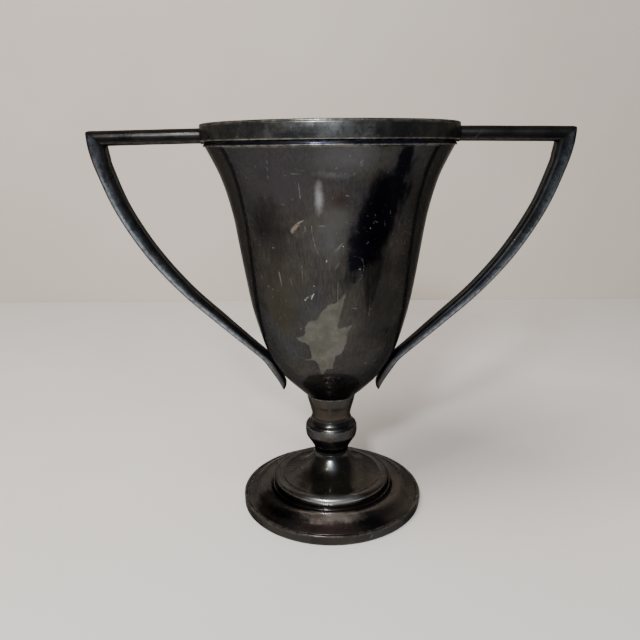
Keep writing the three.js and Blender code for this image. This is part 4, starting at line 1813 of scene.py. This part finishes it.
@dataclass
class Viewpoint:
    """The camera's place and aim."""

    place: Rgb = (0.0, -0.3257, 0.1925)
    yaw: float = -1.0
    pitch: float = 15.23
    roll: float = -0.6
    lens: float = 35.56

    def build(self) -> None:
        """Sets the scene's camera."""
        yaw, pitch, roll = (math.radians(v) for v in (self.yaw, self.pitch, self.roll))
        forward = Vector((math.sin(yaw) * math.cos(pitch), math.cos(yaw) * math.cos(pitch), -math.sin(pitch)))
        right = Vector((math.cos(yaw), -math.sin(yaw), 0))
        up = right.cross(forward)
        across = right * math.cos(roll) + up * math.sin(roll)
        above = up * math.cos(roll) - right * math.sin(roll)
        data = bpy.data.cameras.new("view")
        data.sensor_width, data.lens = 36.0, self.lens
        data.clip_start = 0.01
        camera = bpy.data.objects.new("view", data)
        camera.matrix_world = Matrix((
            (across.x, above.x, -forward.x, self.place[0]),
            (across.y, above.y, -forward.y, self.place[1]),
            (across.z, above.z, -forward.z, self.place[2]),
            (0, 0, 0, 1),
        ))
        bpy.context.scene.collection.objects.link(camera)
        bpy.context.scene.camera = camera


# ---------------------------------------------------------------- finishes

# The bowl's clouds: a reddish-brown spot and a tan spot of tarnish, broad darker and lighter zones, and
# painted light: a broad painted highlight on the front, a soft painted highlight with its arch, and a dark
# diagonal painted reflection with its gloss taken away.
BOWL_CLOUDS = (
    Cloud((-20, -45, 178), (28, 34, 24), (0.024, 0.020, 0.024), 0.8, soft=0.9),
    Cloud((8, -56, 189), (24, 16, 11), (0.062, 0.064, 0.072), 0.85, soft=0.9),
    Cloud((-27, -36, 158), (17, 26, 24), (0.006, 0.005, 0.005), 0.9, dull=0.5, soft=1.0, ragged=1.2),
    # Painted broad highlight on the front.
    Cloud((2, -47, 158), (15, 18, 24), (0.066, 0.068, 0.067), 0.8, soft=1.0, ragged=1.0),
    Cloud((-21, -34, 122), (17, 24, 32), (0.032, 0.030, 0.018), 0.75, dull=0.2, soft=0.9, ragged=1.2),
    Cloud((26, -32, 120), (16, 24, 38), (0.008, 0.008, 0.0065), 0.75, dull=0.4, soft=0.9, ragged=1.2),
    Cloud((37, -38, 172), (9, 24, 28), (0.016, 0.016, 0.014), 0.8, dull=0.2, soft=0.9, ragged=1.2),
    Cloud((3, -40, 108), (17, 14, 24), (0.062, 0.062, 0.054), 0.6, soft=1.0, ragged=1.3),
    Cloud((5, -52, 171), (9, 12, 6), (0.022, 0.011, 0.011), 0.75, dull=0.35, soft=1.0, ragged=1.2),
    # Painted dark reflection: a dark diagonal zone on the right of the front, its gloss nearly all taken
    # away.
    Cloud((21, -46, 161), (12.5, 26, 36), (0.0030, 0.0032, 0.0070), 0.98, dull=0.97, lean=25, soft=0.5,
          ragged=1.1),
    # Painted dark reflection: the same zone's upper end.
    Cloud((32, -46, 188), (4.2, 12, 14), (0.0030, 0.0032, 0.0060), 0.97, dull=0.96, lean=14, soft=0.4),
    # Painted highlight: the faint arch above the soft highlight.
    Cloud((1, -55, 181.5), (9, 7, 2.2), (0.080, 0.086, 0.100), 0.6, lean=4, soft=1.0, ragged=1.6),
    # Painted highlight: the soft upright highlight on the front.
    Cloud((-4.7, -53, 171), (3.0, 9, 9), (0.27, 0.29, 0.31), 0.85, soft=1.0, ragged=1.0),
    Cloud((-15.2, -47, 158.8), (1.2, 8, 3.4), (0.22, 0.19, 0.15), 0.6, lean=48, soft=0.7, ragged=2.2),
    Cloud((-13.4, -48, 161.0), (0.5, 8, 2.6), (0.28, 0.25, 0.20), 0.6, lean=62, soft=0.6, ragged=1.5),
    Cloud((-16.6, -46, 157.2), (1.0, 8, 1.9), (0.18, 0.16, 0.13), 0.6, lean=20, soft=0.7, ragged=2.0),
)
RIM_CLOUDS = (
    # Painted highlight across the front of the band.
    Cloud((4, -64, 196), (34, 12, 16), (0.20, 0.21, 0.215), 0.7, soft=0.9, ragged=2.4),
    Cloud((-10, -64, 190.5), (16, 8, 3), (0.17, 0.16, 0.13), 0.6, ragged=2.0),
    Cloud((30, -57, 196), (9, 12, 12), (0.030, 0.031, 0.035), 0.75, ragged=1.4),
    Cloud((-38, -51, 196), (5, 12, 12), (0.13, 0.13, 0.12), 0.6, ragged=1.4),
    Cloud((-24, -59, 196), (4, 9, 7), (0.16, 0.165, 0.16), 0.6, ragged=2.0),
    Cloud((17, -61, 195), (6, 9, 6), (0.32, 0.32, 0.31), 0.5, ragged=2.8),
)
KNOP_CLOUDS = (
    # Painted highlight on the upper front of the knop.
    Cloud((0, -14, 45.5), (7, 5, 5), (0.16, 0.165, 0.165), 0.75, soft=0.9),
    # Painted dark reflection on both sides of the knop's lower half, with less gloss.
    Cloud((-12, -6, 42), (7, 9, 9), (0.012, 0.011, 0.010), 0.7, dull=0.5, soft=0.8),
    Cloud((12, -6, 42), (7, 9, 9), (0.014, 0.013, 0.012), 0.7, dull=0.5, soft=0.8),
)
FOOT_CLOUDS = (
    Cloud((-14, -16, 20), (11, 13, 9), (0.006, 0.005, 0.004), 0.85, dull=0.85, soft=0.7),
    # Painted highlight on the front of the cone.
    Cloud((0.5, -12.5, 24), (4.5, 6, 7), (0.15, 0.165, 0.175), 0.8, soft=0.9),
    # Painted highlight on the front of the bead.
    Cloud((2, -31, 14.2), (26, 6, 3.6), (0.36, 0.365, 0.37), 0.88, soft=0.8),
    Cloud((-31, -27, 9), (18, 20, 7), (0.0045, 0.003, 0.003), 0.93, dull=0.95, soft=0.5),
    Cloud((22, -42, 7), (13, 9, 5), (0.010, 0.008, 0.010), 0.8, dull=0.6),
    Cloud((-3, -45, 6.5), (26, 6, 4.5), (0.100, 0.066, 0.064), 0.65, ragged=1.2),
    # Brownish-pink front of the crest: copper showing through, painted bright as a broad highlight.
    Cloud((0, -39, 10), (20, 7, 3.4), (0.62, 0.53, 0.48), 0.92, soft=1.0, ragged=1.5),
)
# The bowl, rim, knop and foot finishes carry painted highlights, reflections and shade in their clouds; the
# sweep and bar finishes carry a painted highlight stripe and painted shade through sheen.
FINISHES = (
    TarnishedPlate("bowl_plate_worn_and_painted_light", "bowl_plate", Grain.UPRIGHT, dark=(0.018, 0.0175, 0.020),
                   warm=(0.028, 0.022, 0.020), olive=(0.034, 0.033, 0.026), cool=(0.022, 0.025, 0.034),
                   streak=0.45, gloss=0.42, clouds=BOWL_CLOUDS, marked=True),
    TarnishedPlate("rim_plate_worn_and_painted_light", "rim_plate", Grain.AROUND, dark=(0.060, 0.062, 0.065),
                   warm=(0.085, 0.075, 0.062), olive=(0.095, 0.092, 0.078), cool=(0.034, 0.036, 0.042),
                   clouds=RIM_CLOUDS, mottle=190.0,
                   speck_share=0.6, edge_share=0.7, grime=0.6, blotch=0.55),
    TarnishedPlate("fillet_plate_worn", "rim_plate", Grain.AROUND, dark=(0.014, 0.018, 0.04),
                   warm=(0.028, 0.025, 0.034), cool=(0.02, 0.036, 0.10), olive=(0.03, 0.03, 0.034),
                   mottle=160.0,
                   edge_share=0.7, grime=0.2),
    TarnishedPlate("sweep_plate_worn", "handle_plate", Grain.ALONG, dark=(0.034, 0.036, 0.042),
                   roughness=0.28,
                   warm=(0.048, 0.040, 0.038), olive=(0.040, 0.041, 0.040), cool=(0.045, 0.055, 0.080),
                   mottle=90.0, edge_share=0.15, scratch_share=0.12, gloss=0.6, sheen=0.8),
    TarnishedPlate("bar_plate_worn", "handle_plate", Grain.ALONG, dark=(0.022, 0.020, 0.020), roughness=0.30,
                   warm=(0.042, 0.033, 0.029), olive=(0.030, 0.029, 0.026), cool=(0.026, 0.028, 0.034),
                   mottle=120.0, edge_share=0.3, scratch_share=0.12, gloss=0.4, sheen=0.06),
    TarnishedPlate("collar_plate_worn", "foot_plate", Grain.AROUND, dark=(0.040, 0.034, 0.029),
                   warm=(0.070, 0.050, 0.038), mottle=110.0, roughness=0.36, edge_share=0.5, gloss=0.3,
                   grime=0.5),
    TarnishedPlate("foot_plate_worn_and_painted_light", "foot_plate", Grain.AROUND, dark=(0.026, 0.024, 0.025),
                   warm=(0.050, 0.035, 0.030), roughness=0.27, clouds=FOOT_CLOUDS, mottle=60.0,
                   edge_share=0.35,
                   gloss=0.7),
    TarnishedPlate("foot_band_worn", "foot_plate", Grain.AROUND, mottle=80.0, edge_share=0.35, gloss=0.3),
    TarnishedPlate("knop_plate_worn_and_painted_light", "foot_plate", Grain.AROUND, roughness=0.27, clouds=KNOP_CLOUDS,
                   mottle=70.0,
                   edge_share=0.3, gloss=0.6),
    TarnishedPlate("neck_plate_worn", "foot_plate", Grain.AROUND, dark=(0.007, 0.007, 0.008),
                   warm=(0.010, 0.009, 0.008), olive=(0.010, 0.010, 0.009), cool=(0.008, 0.009, 0.011),
                   mottle=80.0,
                   gloss=0.2),
    PlainMetal("dull_steel", "plain_steel", (0.42, 0.42, 0.43), (0.22, 0.19, 0.16)),
    PlainMetal("dull_brass", "bare_brass", (0.50, 0.40, 0.20), (0.30, 0.22, 0.11)),
    SolderMetal("solder", "foot_plate"),
)


def main() -> None:
    """Builds the cup from the rim down, then its stage and its camera."""
    logging.basicConfig(level=logging.INFO, format="%(name)s %(message)s")
    shop = Workshop()
    shop.learn(FINISHES)
    bowl = Bowl(shop)
    bowl.build()
    Rim(shop, bowl).build()
    for side in Side:
        Handle(shop, bowl, side).build()
    Stem(shop, bowl).build()
    Foot(shop).build()
    Fixing(shop).build()
    Stage().build()
    Viewpoint().build()


if __name__ == "__main__":
    main()
